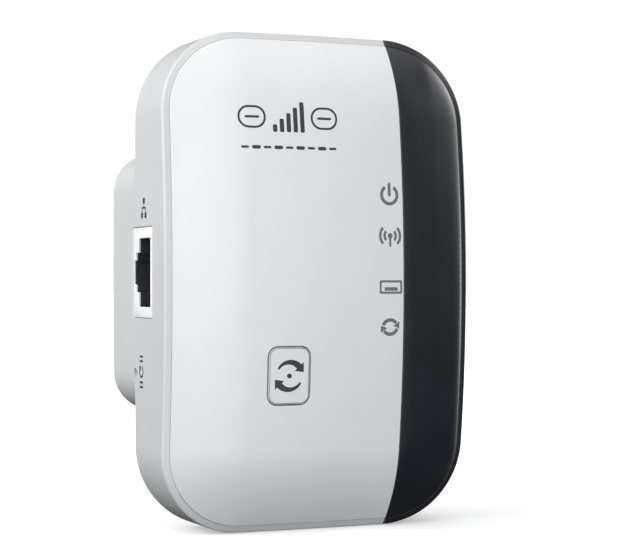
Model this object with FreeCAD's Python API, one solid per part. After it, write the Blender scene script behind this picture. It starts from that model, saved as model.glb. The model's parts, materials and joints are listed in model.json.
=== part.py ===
import FreeCAD, Part
import math
import os
from FreeCAD import Vector

# Wall-plug wifi range extender, modelled in millimetres.
# X to the right seen from the front, +Y towards the wall socket, +Z up.
# Origin: centre of the plug block's rear face, which rests on the wall plate.

# ---------------------------------------------------------------- body
HALF_W = 28.7            # half width of the body at mid height
HALF_H = 43.5            # half height of the body at mid width
CORNER_R = 14.8          # corner radius of the front outline
SIDE_BOW_R = 3260.0      # radius of the slightly bowed left and right walls
TOP_BOW_R = 858.0        # radius of the slightly bowed top and bottom walls
RIM_Y = -29.5            # front rim at mid height
RIM_CURVE_R = 238.0      # the rim bends back towards top and bottom
REAR_Y = -12.2           # rear plate of the body
BLOCK_HALF_H = 23.5      # half height of the plug block
BLOCK_R = 7.0            # corner radius of the plug block
WALL = 2.2               # housing wall
REAR_WALL = 2.0          # rear plate and plug block end wall
EDGE_ROUND = 0.8         # rear edges of body and block
RIM_ROUND = 0.45         # outer edge of the rim lip

# ---------------------------------------------------------------- cover
LIP = 1.2                # thickness of the rim lip around the cover
GROOVE = 0.15            # shadow groove between lip and cover
GROOVE_DEPTH = 1.2
EDGE_IN = LIP + GROOVE   # the cover's edge, in from the body outline
LEDGE = 2.5              # depth of the cover seat below the rim
SEAT_GAP = 0.04          # between the seat and the cover
DOME_RISE = 4.2          # height of the cover's crown above its edge, mid width
DOME_SAG = 0.003         # crown falls off as this times x squared
DOME_ROLL = 13.0         # width of the rolled edge
DOME_EDGE = 0.3          # the cover's edge sits this far below the rim
COVER_T = 2.0            # cover wall at the front
COVER_SIDE_T = 1.7       # cover wall at its edge
SPLIT_X = 14.2           # white cover ends and dark trim begins
SPLIT_GAP = 0.08
COVER_END_X = SPLIT_X - SPLIT_GAP / 2
TRIM_START_X = SPLIT_X + SPLIT_GAP / 2
WEB_T = 1.4              # webs behind the split, measured from SPLIT_X

# ---------------------------------------------------------------- button and switches
BUTTON_X, BUTTON_Z = -7.6, -16.0
BUTTON_W, BUTTON_H, BUTTON_R = 7.4, 9.7, 1.6
BUTTON_GAP = 0.25
BUTTON_WALL = 1.2
FLANGE_REACH = 1.3       # flange beyond the button's sides
PRESS_GAP = 0.02         # between the button's stem and the switch
WPS_SWITCH_H = 4.7       # plunger tip above the board
RESET_SWITCH_X, RESET_Y, RESET_Z = -21.9, -13.0, -15.9
RESET_HOLE_R = 0.8

# ---------------------------------------------------------------- boards and screws
BOARD_FRONT, BOARD_REAR = -23.7, -22.1
BOARD_HALF_W, BOARD_HALF_H = 25.6, 37.5
BOARD_FACE = BOARD_FRONT - 0.01      # main board parts stand on this plane
POWER_Y0, POWER_Y1 = -9.2, -7.6      # front and rear of the power board
POWER_FACE = POWER_Y0 - 0.01         # power board parts stand on this plane
# Screw places as (x, z).
POST_SPOTS = [(side * 18.5, level * 31.0) for side in (-1, 1) for level in (-1, 1)]
BOARD_SCREWS = ((-22.6, 26.5), (22.6, -26.5), (22.6, 26.5), (-22.6, -26.5))
POWER_SCREWS = ((-21.5, 17.4), (21.5, 17.4), (21.5, -17.4))
PILLAR_R, PILOT_R = 2.2, 1.02
BOARD_HOLE_R = 1.3

# ---------------------------------------------------------------- network jack
JACK_Z = 1.67            # centre height
JACK_HALF_Z = 7.85
JACK_Y0, JACK_Y1 = -22.1, -11.8
JACK_FACE_X = -28.6
JACK_DEPTH = 18.0
OPEN_HALF_Z = 5.97
OPEN_Y0, OPEN_Y1 = -20.94, -14.77
STEP1_HALF_Z, STEP1_Y = 3.45, -13.27
STEP2_HALF_Z, STEP2_Y = 2.1, -12.2
JACK_POCKET = 15.5       # depth of the plug cavity
JACK_BEZEL = 0.35        # the light face is only this thick in front of the dark liner
LINER_T = 0.30
LINER_GAP = 0.02

# ---------------------------------------------------------------- plug
NOSE_W, NOSE_FLAT, NOSE_H = 35.3, 26.1, 13.7
NOSE_LEN = 17.5
PIN_X = 18.6 / 2         # half the pin pitch
PIN_R = 2.0
PIN_LEN = 19.0
PIN_TIP = 1.2            # length of the tapered tip
SLEEVE_R, SLEEVE_LEN = 1.8, 10.0
PIN_CORE_R = 1.45
PIN_FIT = 0.02

# ---------------------------------------------------------------- parts on the boards
# name: x, z, width, height, thickness, dot radius, dot inset from the corner, dot depth
CHIPS = {
    "wifi_soc": (3.0, 7.0, 13.0, 13.0, 1.0, 0.5, 1.2, 0.1),
    "memory_chip": (3.0, -8.0, 12.0, 8.0, 1.1, 0.4, 1.0, 0.1),
    "flash_chip": (6.0, -22.0, 5.2, 5.2, 1.9, 0.35, 0.8, 0.15),
}
# chip x, chip z, chip size across, leads per side, pitch, lead height, reach, row axis
LEAD_ROWS = (
    (3.0, 7.0, 13.0, 16, 0.75, 0.6, 0.9, "z"),
    (3.0, 7.0, 13.0, 16, 0.75, 0.6, 0.9, "x"),
    (3.0, -8.0, 8.0, 14, 0.8, 0.6, 0.9, "x"),
    (6.0, -22.0, 5.2, 4, 1.27, 0.9, 1.0, "z"),
)
# first x, first z, step in x, step in z, count
RESISTOR_ROWS = (
    (-2.4, -14.6, 2.2, 0, 6), (-10.5, -2, 0, 2.0, 5),
    (12.5, 0.5, 0, 1.9, 7), (-12, -27.5, 2.4, 0, 7),
)
CAPACITOR_ROWS = ((-2.4, -16.4, 2.2, 0, 6), (-11.5, -30.0, 2.4, 0, 6))
# x, z
LOOSE_CAPACITORS = [
    (12.5, 14.5), (14.8, 14.5), (-16.5, 13.5), (-19.0, 13.5), (-13.9, 13.5),
    (12.5, -16.0), (12.5, -18.0),
]
# Right antenna's trace bars: x from, x to, y from, y to
TRACE_BARS = (
    (3.0, 16.5, -22.6, -21.4), (3.0, 4.2, -22.6, -16.0), (6.2, 7.4, -22.6, -16.0),
    (15.3, 16.5, -22.6, -17.8), (10.5, 16.5, -19.0, -17.8),
)
ANTENNA_TOP = 40.0
LED_X = 17.2
LED_Z = (15.4, 7.9, -0.85, -7.85)
TRAFO_X, TRAFO_Z = 3.0, 9.0
LINK_Z = 15.2
LINK_CENTRE_X = -12
LINK_X = [LINK_CENTRE_X + (i - 1.5) * 2.54 for i in range(4)]

ALONG_X = (1, 0, 0)
ALONG_Z = (0, 0, 1)


# ---------------------------------------------------------------- basic solids
def save(name, shape):
    if shape.ShapeType != "Compound":
        shape = shape.removeSplitter()
    shape.exportStep("parts/%s.step" % name)


def box(x_a, x_b, y_a, y_b, z_a, z_b):
    """Box between two opposite corners, given in either order."""
    corner = Vector(min(x_a, x_b), min(y_a, y_b), min(z_a, z_b))
    return Part.makeBox(abs(x_b - x_a), abs(y_b - y_a), abs(z_b - z_a), corner)


def cylinder(radius, base, direction, length):
    return Part.makeCylinder(radius, length, Vector(*base), Vector(*direction))


def rod(radius, x, z, y_min, y_max):
    """Cylinder along Y."""
    return cylinder(radius, (x, y_min, z), (0, 1, 0), y_max - y_min)


def rounded(shape, radius, axis):
    """Round the straight edges that run along one axis."""
    edges = []
    for edge in shape.Edges:
        if not isinstance(edge.Curve, (Part.Line, Part.LineSegment)):
            continue
        tangent = edge.tangentAt(edge.FirstParameter)
        if abs(abs(getattr(tangent, axis)) - 1.0) < 1e-6:
            edges.append(edge)
    return shape.makeFillet(radius, edges)


def pad(x, z, width, height, y_min, y_max, radius=0):
    """Box centred on x and z; a radius rounds its edges along Y."""
    solid = box(x - width / 2, x + width / 2, y_min, y_max, z - height / 2, z + height / 2)
    return rounded(solid, radius, "y") if radius else solid


def circles(shape):
    return [edge for edge in shape.Edges if isinstance(edge.Curve, Part.Circle)]


def bevel(shape, size):
    """Break every edge of a small moulded part."""
    # Guards against a chamfer that fails; the part then stays sharp.
    try:
        out = shape.makeChamfer(size, shape.Edges)
        if out.isValid() and out.Volume > 0:
            return out
    except Exception:
        pass
    return shape


def round_edges(solid, edges, sizes):
    """Fillet with the first radius that gives a sound solid."""
    for radius in sizes:
        # Guards against a fillet that fails; the next radius is then used.
        try:
            out = solid.makeFillet(radius, edges)
            if out.isValid() and abs(out.Volume - solid.Volume) < 0.05 * solid.Volume:
                return out
        except Exception:
            continue
    return solid


def joined(shapes):
    return shapes[0].fuse(shapes[1:]).removeSplitter()


def group(shapes):
    return Part.makeCompound(shapes)


def wire_along(points, radius):
    """Round wire or cable along a smooth path."""
    path = Part.BSplineCurve()
    path.interpolate([Vector(*point) for point in points])
    edge = path.toShape()
    start = edge.valueAt(edge.FirstParameter)
    tangent = edge.tangentAt(edge.FirstParameter)
    ring = Part.Wire([Part.Circle(start, tangent, radius).toShape()])
    out = Part.Wire([edge]).makePipeShell([ring], True, True)
    if out.ShapeType != "Solid":
        out = Part.Solid(Part.Shell(out.Faces))
    if out.Volume < 0:
        out.reverse()
    return out


# ---------------------------------------------------------------- bowed outline
def corner_centre(half_height, radius):
    """Centre of the corner arc that meets both bowed walls smoothly, by Newton's method."""
    side_x = HALF_W - SIDE_BOW_R
    top_z = half_height - TOP_BOW_R
    x, z = HALF_W - radius, half_height - radius
    for _ in range(40):
        side_dist = math.hypot(x - side_x, z)
        top_dist = math.hypot(x, z - top_z)
        side_error = side_dist - (SIDE_BOW_R - radius)
        top_error = top_dist - (TOP_BOW_R - radius)
        side_dx, side_dz = (x - side_x) / side_dist, z / side_dist
        top_dx, top_dz = x / top_dist, (z - top_z) / top_dist
        det = side_dx * top_dz - side_dz * top_dx
        x -= (side_error * top_dz - top_error * side_dz) / det
        z -= (top_error * side_dx - side_error * top_dx) / det
    return x, z


def outline(inset, y, half_height, radius):
    """Closed wire of the bowed, rounded rectangle, moved in by an inset."""
    x, z = corner_centre(half_height, radius)
    side_x, top_z = HALF_W - SIDE_BOW_R, half_height - TOP_BOW_R
    reach = radius - inset
    # Ends of the upper right corner arc, where it touches the bowed walls.
    side_dist = math.hypot(x - side_x, z)
    side_end_x = x + (x - side_x) / side_dist * reach
    side_end_z = z + z / side_dist * reach
    top_dist = math.hypot(x, z - top_z)
    top_end_x = x + x / top_dist * reach
    top_end_z = z + (z - top_z) / top_dist * reach
    mid_x = x + math.cos(math.pi / 4) * reach
    mid_z = z + math.sin(math.pi / 4) * reach
    width, height = HALF_W - inset, half_height - inset
    # Arc ends and arc middles in turn, as (x, z).
    around = [
        (side_end_x, -side_end_z), (width, 0), (side_end_x, side_end_z), (mid_x, mid_z),
        (top_end_x, top_end_z), (0, height), (-top_end_x, top_end_z), (-mid_x, mid_z),
        (-side_end_x, side_end_z), (-width, 0), (-side_end_x, -side_end_z), (-mid_x, -mid_z),
        (-top_end_x, -top_end_z), (0, -height), (top_end_x, -top_end_z), (mid_x, -mid_z),
    ]
    points = [Vector(px, y, pz) for px, pz in around + around[:1]]
    return Part.Wire([Part.Arc(*points[i:i + 3]).toShape() for i in range(0, 16, 2)])


def prism(inset, y_min, y_max, half_height=HALF_H, radius=CORNER_R):
    face = Part.Face(outline(inset, y_min, half_height, radius))
    return face.extrude(Vector(0, y_max - y_min, 0))


def block(inset, y_min, y_max):
    return prism(inset, y_min, y_max, BLOCK_HALF_H, BLOCK_R)


# ---------------------------------------------------------------- front surfaces
def rim_at(z):
    return RIM_Y + RIM_CURVE_R - math.sqrt(RIM_CURVE_R ** 2 - z * z)


def behind_rim(offset):
    """Everything behind the bent rim surface moved back by an offset."""
    half_z, left_x = 50.0, -40
    low, middle, high = [Vector(left_x, rim_at(z) + offset, z) for z in (-half_z, 0, half_z)]
    back_y = rim_at(0) + 60.0
    back_high = Vector(left_x, back_y, half_z)
    back_low = Vector(left_x, back_y, -half_z)
    edges = [
        Part.Arc(low, middle, high).toShape(),
        Part.makeLine(high, back_high),
        Part.makeLine(back_high, back_low),
        Part.makeLine(back_low, low),
    ]
    return Part.Face(Part.Wire(edges)).extrude(Vector(80, 0, 0))


def inward(x, z):
    """Distance inwards from the cover's edge."""
    radius = CORNER_R - EDGE_IN
    past_x = abs(x) - (HALF_W - EDGE_IN - radius)
    past_z = abs(z) - (HALF_H - EDGE_IN - radius)
    outside = math.hypot(max(past_x, 0.0), max(past_z, 0.0))
    return radius - outside - min(max(past_x, past_z), 0.0)


def dome_at(x, z):
    depth = min(inward(x, z), DOME_ROLL)
    share = 1.0 - (1.0 - depth / DOME_ROLL) ** 2
    rise = DOME_RISE - DOME_SAG * x * x
    return rim_at(z) + DOME_EDGE - rise * share


def behind_dome(offset):
    """Everything behind the crowned front surface moved back by an offset."""
    count_x, count_z = 35, 53
    half_x, half_z = 31.0, 46.0
    rows = []
    for i in range(count_x):
        x = -half_x + 2 * half_x * i / (count_x - 1)
        levels = [-half_z + 2 * half_z * j / (count_z - 1) for j in range(count_z)]
        rows.append([Vector(x, dome_at(x, z) + offset, z) for z in levels])
    surface = Part.BSplineSurface()
    surface.interpolate(rows)
    return surface.toShape().extrude(Vector(0, 40.0, 0))


def body_blank():
    """Solid body between rim and rear plate, edges rounded."""
    body = prism(0.0, -45.0, REAR_Y).common(RIM)
    rear = [edge for edge in body.Edges if edge.BoundBox.YMin > REAR_Y - 1e-3]
    body = round_edges(body, rear, (EDGE_ROUND, 0.5))
    front = [edge for edge in body.Edges if edge.BoundBox.YMax < -24.0]
    return round_edges(body, front, (RIM_ROUND, 0.3))


RIM = behind_rim(0.0)
SEAT = behind_rim(LEDGE)
SEAT_COVER = behind_rim(LEDGE - SEAT_GAP)
DOME = behind_dome(0.0)
DOME_IN = behind_dome(COVER_T)
BODY = body_blank()
COVER_HOLLOW = prism(EDGE_IN + COVER_SIDE_T, -46.0, -15.0).common(DOME_IN)


# ---------------------------------------------------------------- rear housing
def housing_shell():
    """Hollow body and plug block, cut back for the cover and the side trim."""
    plug_block = block(0.0, -20.0, 0.0)
    end_edges = [edge for edge in plug_block.Edges if edge.BoundBox.YMin > -1e-3]
    plug_block = round_edges(plug_block, end_edges, (EDGE_ROUND, 0.5))
    shell = BODY.fuse(plug_block).removeSplitter()
    hollow = prism(WALL, -45.0, REAR_Y - REAR_WALL).fuse(block(WALL, -20.0, -REAR_WALL))
    shell = shell.cut(hollow)
    # Seat for the cover, inside the lip.
    shell = shell.cut(prism(LIP, -45.0, REAR_Y - 6).cut(SEAT))
    # The dark trim wraps the right-hand walls.
    skin = prism(-0.5, -45.0, REAR_Y).cut(prism(LIP + 0.04, -46.0, REAR_Y + 1.0))
    return shell.cut(skin.common(box(COVER_END_X, 40, -50, REAR_Y, -60, 60)))


def rear_housing():
    housing = housing_shell()
    # Network jack window and reset pin hole in the left wall.
    gap = 0.1
    window = box(-32, -22, JACK_Y0 - gap, JACK_Y1 + gap,
                 JACK_Z - JACK_HALF_Z - gap, JACK_Z + JACK_HALF_Z + gap)
    housing = housing.cut(rounded(window, 0.3, "x"))
    housing = housing.cut(cylinder(RESET_HOLE_R, (-32, RESET_Y, RESET_Z), ALONG_X, 10))
    # Cooling slots in the rear plate above and below the plug block.
    for level in (-1, 1):
        for i in range(-3, 4):
            slot = pad(i * 4.0, level * 33.0, 1.6, 11.0, REAR_Y - 6, REAR_Y + 2, 0.75)
            housing = housing.cut(slot)
    # Screw tubes, with a counterbore open to the rear.
    tube_y, tube_end_y = BOARD_REAR + 0.05, REAR_Y - 0.95
    for x, z in POST_SPOTS:
        housing = housing.fuse(rod(3.1, x, z, tube_y, tube_end_y))
    for x, z in POST_SPOTS:
        housing = housing.cut(rod(1.3, x, z, BOARD_REAR - 2, BOARD_REAR + 18))
        housing = housing.cut(rod(2.4, x, z, REAR_Y - 3.0, REAR_Y + 3.0))
    # Opening for the plug insert in the end wall.
    housing = housing.cut(hexagon(0.05, -6, 4))
    # Pillars with pilot holes for the board screws.
    for x, z in BOARD_SCREWS:
        housing = housing.fuse(rod(PILLAR_R, x, z, tube_y, tube_end_y))
        housing = housing.cut(rod(PILOT_R, x, z, BOARD_REAR - 1, BOARD_REAR + 7.5))
    for x, z in POWER_SCREWS:
        housing = housing.fuse(rod(PILLAR_R, x, z, POWER_Y1 + 0.05, -0.95))
        housing = housing.cut(rod(PILOT_R, x, z, POWER_Y1 - 1, POWER_Y1 + 5.2))
    return housing.removeSplitter()


# ---------------------------------------------------------------- cover and trim
def with_posts(shape, side, limits):
    """Add the screw posts on one side, each trimmed to the limits, then drill them."""
    for x, z in POST_SPOTS:
        if x * side > 0:
            post = rod(2.5, x, z, -33.0, BOARD_REAR + 0.01)
            for limit in limits:
                post = post.common(limit)
            shape = shape.fuse(post)
            shape = shape.cut(rod(0.85, x, z, -29.0, -19.0))
    return shape.removeSplitter()


def split_web(x_a, x_b):
    """Thin web inside the front wall, along the split."""
    return box(x_a, x_b, -34, -28.0, -30, 30).common(DOME_IN)


def front_cover():
    front = prism(EDGE_IN, -45.0, -15.0).common(DOME).cut(SEAT_COVER)
    cover = front.cut(COVER_HOLLOW).common(box(-40, COVER_END_X, -50, 10, -60, 60))
    cover = cover.fuse(split_web(SPLIT_X - WEB_T, COVER_END_X))
    window = pad(BUTTON_X, BUTTON_Z, BUTTON_W + 2 * BUTTON_GAP, BUTTON_H + 2 * BUTTON_GAP,
                 -40, -24, BUTTON_R + BUTTON_GAP)
    cover = cover.cut(window)
    return with_posts(cover, -1, (DOME_IN.fuse(DOME), DOME))


def side_trim():
    """Dark strip of the front, in one piece with the skin of the right-hand walls."""
    wrap = BODY.common(box(0, 40, -50, REAR_Y - 0.02, -60, 60))
    wrap = wrap.cut(prism(LIP, -46.0, REAR_Y + 1))
    strip = prism(LIP, -45.0, -15.0).common(DOME).common(RIM.fuse(DOME)).cut(SEAT_COVER)
    groove = prism(LIP, -46.0, -15.0).cut(prism(EDGE_IN, -47.0, -14.0))
    groove = groove.cut(behind_rim(GROOVE_DEPTH))
    strip = strip.cut(groove).cut(COVER_HOLLOW)
    trim = wrap.fuse(strip).common(box(TRIM_START_X, 40, -50, 10, -60, 60))
    trim = trim.fuse(split_web(TRIM_START_X, SPLIT_X + WEB_T))
    return with_posts(trim, 1, (DOME,))


def wps_button():
    """Hollow cap with a retaining flange, a central stem and crossed ribs."""
    def centred(grow, y_min, y_max, radius):
        return pad(BUTTON_X, BUTTON_Z, BUTTON_W + 2 * grow, BUTTON_H + 2 * grow,
                   y_min, y_max, radius)

    cap = centred(0, -40, -27.6, BUTTON_R).common(DOME)
    cap = cap.cut(centred(-BUTTON_WALL, -31.6, -20, 0.8))
    flange = centred(FLANGE_REACH, -40, -28.7, BUTTON_R)
    flange = flange.common(behind_dome(COVER_T + 0.06))
    flange = flange.cut(centred(-BUTTON_WALL, -41, -20, 0.8))
    stem = rod(1.6, BUTTON_X, BUTTON_Z, -32.5, BOARD_FRONT - WPS_SWITCH_H - PRESS_GAP)
    ribs = [pad(BUTTON_X, BUTTON_Z, width, height, -32.4, -29.4)
            for width, height in ((6.4, 0.8), (0.8, 8.4))]
    return joined([cap, flange] + [part.common(DOME) for part in [stem] + ribs])


# ---------------------------------------------------------------- press switches
def save_press_switch(prefix, centre, axis, height, has_feet):
    """Four-leg press switch, drawn along +Z and turned to the axis.

    The axis points from the mounting face at the centre to the plunger tip."""
    origin, out = Vector(*centre), Vector(*axis)
    up = Vector(0, 0, 1)
    across = out.cross(up)
    matrix = FreeCAD.Matrix(
        across.x, up.x, out.x, origin.x,
        across.y, up.y, out.y, origin.y,
        across.z, up.z, out.z, origin.z,
        0, 0, 0, 1)

    def save_placed(part, shape):
        save(prefix + part, shape.transformGeometry(matrix))

    def upright(radius, z, length, x=0, y=0):
        return cylinder(radius, (x, y, z), ALONG_Z, length)

    half, top = 3.0, 3.1
    corners = [(sx, sy) for sx in (-1, 1) for sy in (-1, 1)]
    pegs = [(sx * 2.35, sy * 2.35) for sx, sy in corners]

    base = rounded(box(-half, half, -half, half, 0, top), 0.4, "z")
    base = base.cut(upright(2.15, top - 1.7, 3))
    for x, y in pegs:
        base = base.cut(upright(0.55, top - 0.5, 2, x, y))
    save_placed("_base", base)

    plate = rounded(box(-half, half, -half, half, top + 0.01, top + 0.31), 0.4, "z")
    plate = plate.cut(upright(1.82, top - 1, 3))
    save_placed("_cover", joined([plate] + [upright(0.5, top - 0.4, 0.5, x, y) for x, y in pegs]))

    # Shank through the plate and a wider foot that is held under it.
    shank = upright(1.75, top - 0.6, height - top + 0.6)
    save_placed("_plunger", joined([shank, upright(2.05, top - 0.85, 0.55)]))

    # Shallow snap dome under the plunger.
    dome_r = 14.0
    dome_centre = Vector(0, 0, top - 1.2 - dome_r)
    dome = Part.makeSphere(dome_r, dome_centre).common(upright(1.95, top - 1.68, 2))
    save_placed("_dome", dome.cut(Part.makeSphere(dome_r - 0.1, dome_centre)))

    terminals = []
    for sx, sy in corners:
        def strip(reach, z_max):
            return box(sx * (half + 0.02), sx * (half + reach),
                       sy * 2.25 - 0.35, sy * 2.25 + 0.35, 0.0, z_max)

        leg = strip(0.32, 1.6)
        terminals.append(joined([leg, strip(1.1, 0.25)]) if has_feet else leg)
    save_placed("_terminals", group(terminals))


def reset_switch_bracket():
    """Angle bracket that holds the reset switch off the board, with two gussets."""
    half, left_x = 3.2, RESET_SWITCH_X + 0.01
    foot_y = BOARD_REAR + 0.01
    z_min, z_max = RESET_Z - half, RESET_Z + half
    upright = box(left_x, left_x + 0.6, foot_y, RESET_Y + half, z_min, z_max)
    foot = box(left_x, RESET_SWITCH_X + 4.2, foot_y, foot_y + 0.6, z_min, z_max)
    gussets = [box(RESET_SWITCH_X + 0.3, RESET_SWITCH_X + 1.8, BOARD_REAR + 0.3, BOARD_REAR + 5.0,
                   RESET_Z + side * 2.9 - 0.3, RESET_Z + side * 2.9 + 0.3) for side in (-1, 1)]
    return joined([upright, foot] + gussets)


# ---------------------------------------------------------------- plug
def hexagon(grow, y_min, y_max):
    """Prism of the plug's flat hexagonal section, grown outwards."""
    tip = NOSE_W / 2 + grow
    flat = NOSE_FLAT / 2 + grow * 0.41
    top = NOSE_H / 2 + grow
    section = [(-tip, 0), (-flat, top), (flat, top), (tip, 0), (flat, -top), (-flat, -top),
               (-tip, 0)]
    wire = Part.makePolygon([Vector(x, y_min, z) for x, z in section])
    return rounded(Part.Face(wire).extrude(Vector(0, y_max - y_min, 0)), 1.2, "y")


def plug_nose():
    nose = hexagon(0.0, -REAR_WALL, NOSE_LEN)
    end_edges = [edge for edge in nose.Edges if abs(edge.BoundBox.YMin - NOSE_LEN) < 1e-4]
    # Guards against a failing fillet; the end face then keeps sharp edges.
    try:
        nose = nose.makeFillet(0.8, end_edges)
    except Exception:
        pass
    # Flange inside the end wall.
    nose = nose.fuse(pad(0, 0, 41.0, 18.0, -REAR_WALL - 2.0, -REAR_WALL, 1.5))
    for x in (-PIN_X, PIN_X):
        nose = nose.cut(rod(PIN_CORE_R + PIN_FIT, x, 0, -10, 30))
        nose = nose.cut(rod(SLEEVE_R + PIN_FIT, x, 0, NOSE_LEN - 3.0, NOSE_LEN + 7.0))
    # Recesses in the top and bottom flats.
    for side in (-1, 1):
        nose = nose.cut(pad(0, side * NOSE_H / 2, 11.0, 2.0, 2.5, NOSE_LEN - 2.5, 0.9))
    return nose.removeSplitter()


def plug_pin(x):
    sleeve_end = NOSE_LEN + SLEEVE_LEN
    taper_y = NOSE_LEN + PIN_LEN - PIN_TIP
    core = rod(PIN_CORE_R, x, 0, -5.6, sleeve_end + 0.5)
    metal = rod(PIN_R, x, 0, sleeve_end + PIN_FIT, taper_y)
    tip = Part.makeCone(PIN_R, 1.15, PIN_TIP, Vector(x, taper_y, 0), Vector(0, 1, 0))
    tail = pad(x, 0, 2.2, 0.8, -7.0, -4.8)
    return joined([core, metal, tip, tail])


def pin_sleeves():
    return group([
        rod(SLEEVE_R, x, 0, NOSE_LEN - 2.98, NOSE_LEN + SLEEVE_LEN).cut(
            rod(PIN_CORE_R + PIN_FIT, x, 0, 0, 40))
        for x in (-PIN_X, PIN_X)])


def rating_label():
    return pad(0, 14.7, 40.0, 9.0, 0.01, 0.13, 1.0)


# ---------------------------------------------------------------- network jack
def jack_opening(grow, x_min, x_max):
    """Stepped plug opening, grown outwards."""
    steps = ((OPEN_Y0 - grow, OPEN_Y1 + grow, OPEN_HALF_Z),
             (OPEN_Y0, STEP1_Y + grow, STEP1_HALF_Z),
             (OPEN_Y0, STEP2_Y + min(grow, 0.15), STEP2_HALF_Z))
    return joined([
        box(x_min, x_max, y_min, y_max, JACK_Z - half_z - grow, JACK_Z + half_z + grow)
        for y_min, y_max, half_z in steps])


def rj45_jack_body():
    bezel_x = JACK_FACE_X + JACK_BEZEL
    end_x = JACK_FACE_X + JACK_DEPTH
    z_min, z_max = JACK_Z - JACK_HALF_Z, JACK_Z + JACK_HALF_Z
    jack = box(JACK_FACE_X, end_x, JACK_Y0 + 0.01, JACK_Y1, z_min, z_max)
    jack = jack.cut(jack_opening(0.0, JACK_FACE_X - 1, bezel_x))
    jack = jack.cut(jack_opening(LINER_T, bezel_x, JACK_FACE_X + JACK_POCKET + LINER_T))
    # The inner end is open towards the board for its solder tails.
    jack = jack.cut(box(end_x - 2.0, end_x + 1, JACK_Y0 - 1, JACK_Y1 - 1.2,
                        z_min + 1.2, z_max - 1.2))
    return jack.removeSplitter()


def rj45_jack_liner():
    thickness = LINER_T - LINER_GAP
    pocket_x = JACK_FACE_X + JACK_POCKET
    liner = jack_opening(thickness, JACK_FACE_X + JACK_BEZEL + LINER_GAP, pocket_x + thickness)
    return liner.cut(jack_opening(0.0, JACK_FACE_X - 1, pocket_x)).removeSplitter()


def rj45_contacts():
    """Eight spring contacts that lean from the board side into the cavity."""
    # x from the jack face, y from the opening's front side
    profile = [(3.0, 0.35), (4.0, 0.35), (11.5, 1.7), (11.9, 1.7), (11.9, 1.3),
               (4.1, 0.05), (3.0, 0.05), (3.0, 0.35)]
    pitch, width = 1.02, 0.44
    contacts = []
    for i in range(8):
        z = JACK_Z + (i - 3.5) * pitch - width / 2
        wire = Part.makePolygon([Vector(JACK_FACE_X + x, OPEN_Y0 + y, z) for x, y in profile])
        contacts.append(Part.Face(wire).extrude(Vector(0, 0, width)))
    return group(contacts)


# ---------------------------------------------------------------- main board
def main_board():
    board = pad(0, 0, 2 * BOARD_HALF_W, 2 * BOARD_HALF_H, BOARD_FRONT, BOARD_REAR, 9.5)
    for radius, spots in ((2.65, POST_SPOTS), (BOARD_HOLE_R, BOARD_SCREWS)):
        for x, z in spots:
            board = board.cut(rod(radius, x, z, BOARD_FRONT - 1, BOARD_FRONT + 3))
    return board


def on_board(x, z, width, height, thickness, radius=0):
    """Block standing on the front of the main board."""
    return pad(x, z, width, height, BOARD_FACE - thickness, BOARD_FACE, radius)


def marked_chip(x, z, width, height, thickness, dot_r, dot_inset, dot_depth):
    """Chip with a round dimple near its upper left corner."""
    top_y = BOARD_FACE - thickness
    dot = rod(dot_r, x - width / 2 + dot_inset, z + height / 2 - dot_inset,
              top_y - 0.1, top_y + dot_depth)
    return on_board(x, z, width, height, thickness, 0.3).cut(dot)


def lead_rows(x, z, size, count, pitch, height, reach, row_axis):
    """Gull-wing leads on two opposite sides of a chip."""
    half, half_lead = size / 2, 0.17
    leads = []
    for side in (-1, 1):
        near = side * (half + 0.01)
        # far end, front y, rear y of foot and knee
        bars = ((side * (half + reach), BOARD_FACE - 0.2, BOARD_FACE),
                (side * (half + reach / 2), BOARD_FACE - height, BOARD_FACE - 0.1))
        for i in range(count):
            along = (i - (count - 1) / 2.0) * pitch
            low, high = along - half_lead, along + half_lead
            if row_axis == "z":
                lead = [box(x + near, x + far, front, rear, z + low, z + high)
                        for far, front, rear in bars]
            else:
                lead = [box(x + low, x + high, front, rear, z + near, z + far)
                        for far, front, rear in bars]
            leads.append(joined(lead))
    return leads


def chip_leads():
    return group([lead for row in LEAD_ROWS for lead in lead_rows(*row)])


def rf_shield():
    """Perforated can, open towards the board, notched around the screw posts."""
    can = rounded(box(-8.5, 17.0, BOARD_FACE - 2.6, BOARD_FACE, 19.0, 33.0), 0.8, "y")
    inside = box(-8.2, 16.7, BOARD_FACE - 2.35, BOARD_FACE + 1, 19.3, 32.7)
    can = can.cut(rounded(inside, 0.6, "y"))
    for i in range(5):
        for j in range(3):
            can = can.cut(rod(0.6, -4 + i * 4.0, 22.5 + j * 3.5, BOARD_FACE - 4, BOARD_FACE - 1))
    for x, z in POST_SPOTS:
        can = can.cut(rod(3.0, x, z, BOARD_FACE - 4, BOARD_FACE + 1))
    return can


def crystal():
    return bevel(on_board(-9.0, 11.5, 5.0, 3.2, 1.2, 0.3), 0.15)


def ethernet_transformer():
    x, z = -17.0, 2.0
    body = on_board(x, z, 9.6, 12.6, 3.2, 0.3)
    for side in (1, -1):
        body = body.fuse(group([on_board(x + side * 5.35, z + i * 1.6, 1.1, 0.6, 0.3)
                                for i in range(-3, 4)]))
    return body


def power_inductor():
    x, z = 16.0, -24.6
    dimple = rod(2.2, x, z, BOARD_FACE - 3.2, BOARD_FACE - 2.6)
    return on_board(x, z, 6.0, 6.0, 3.0, 1.0).cut(dimple)


def status_leds():
    return group([bevel(on_board(LED_X, z, 1.6, 1.0, 0.7), 0.08) for z in LED_Z])


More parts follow.
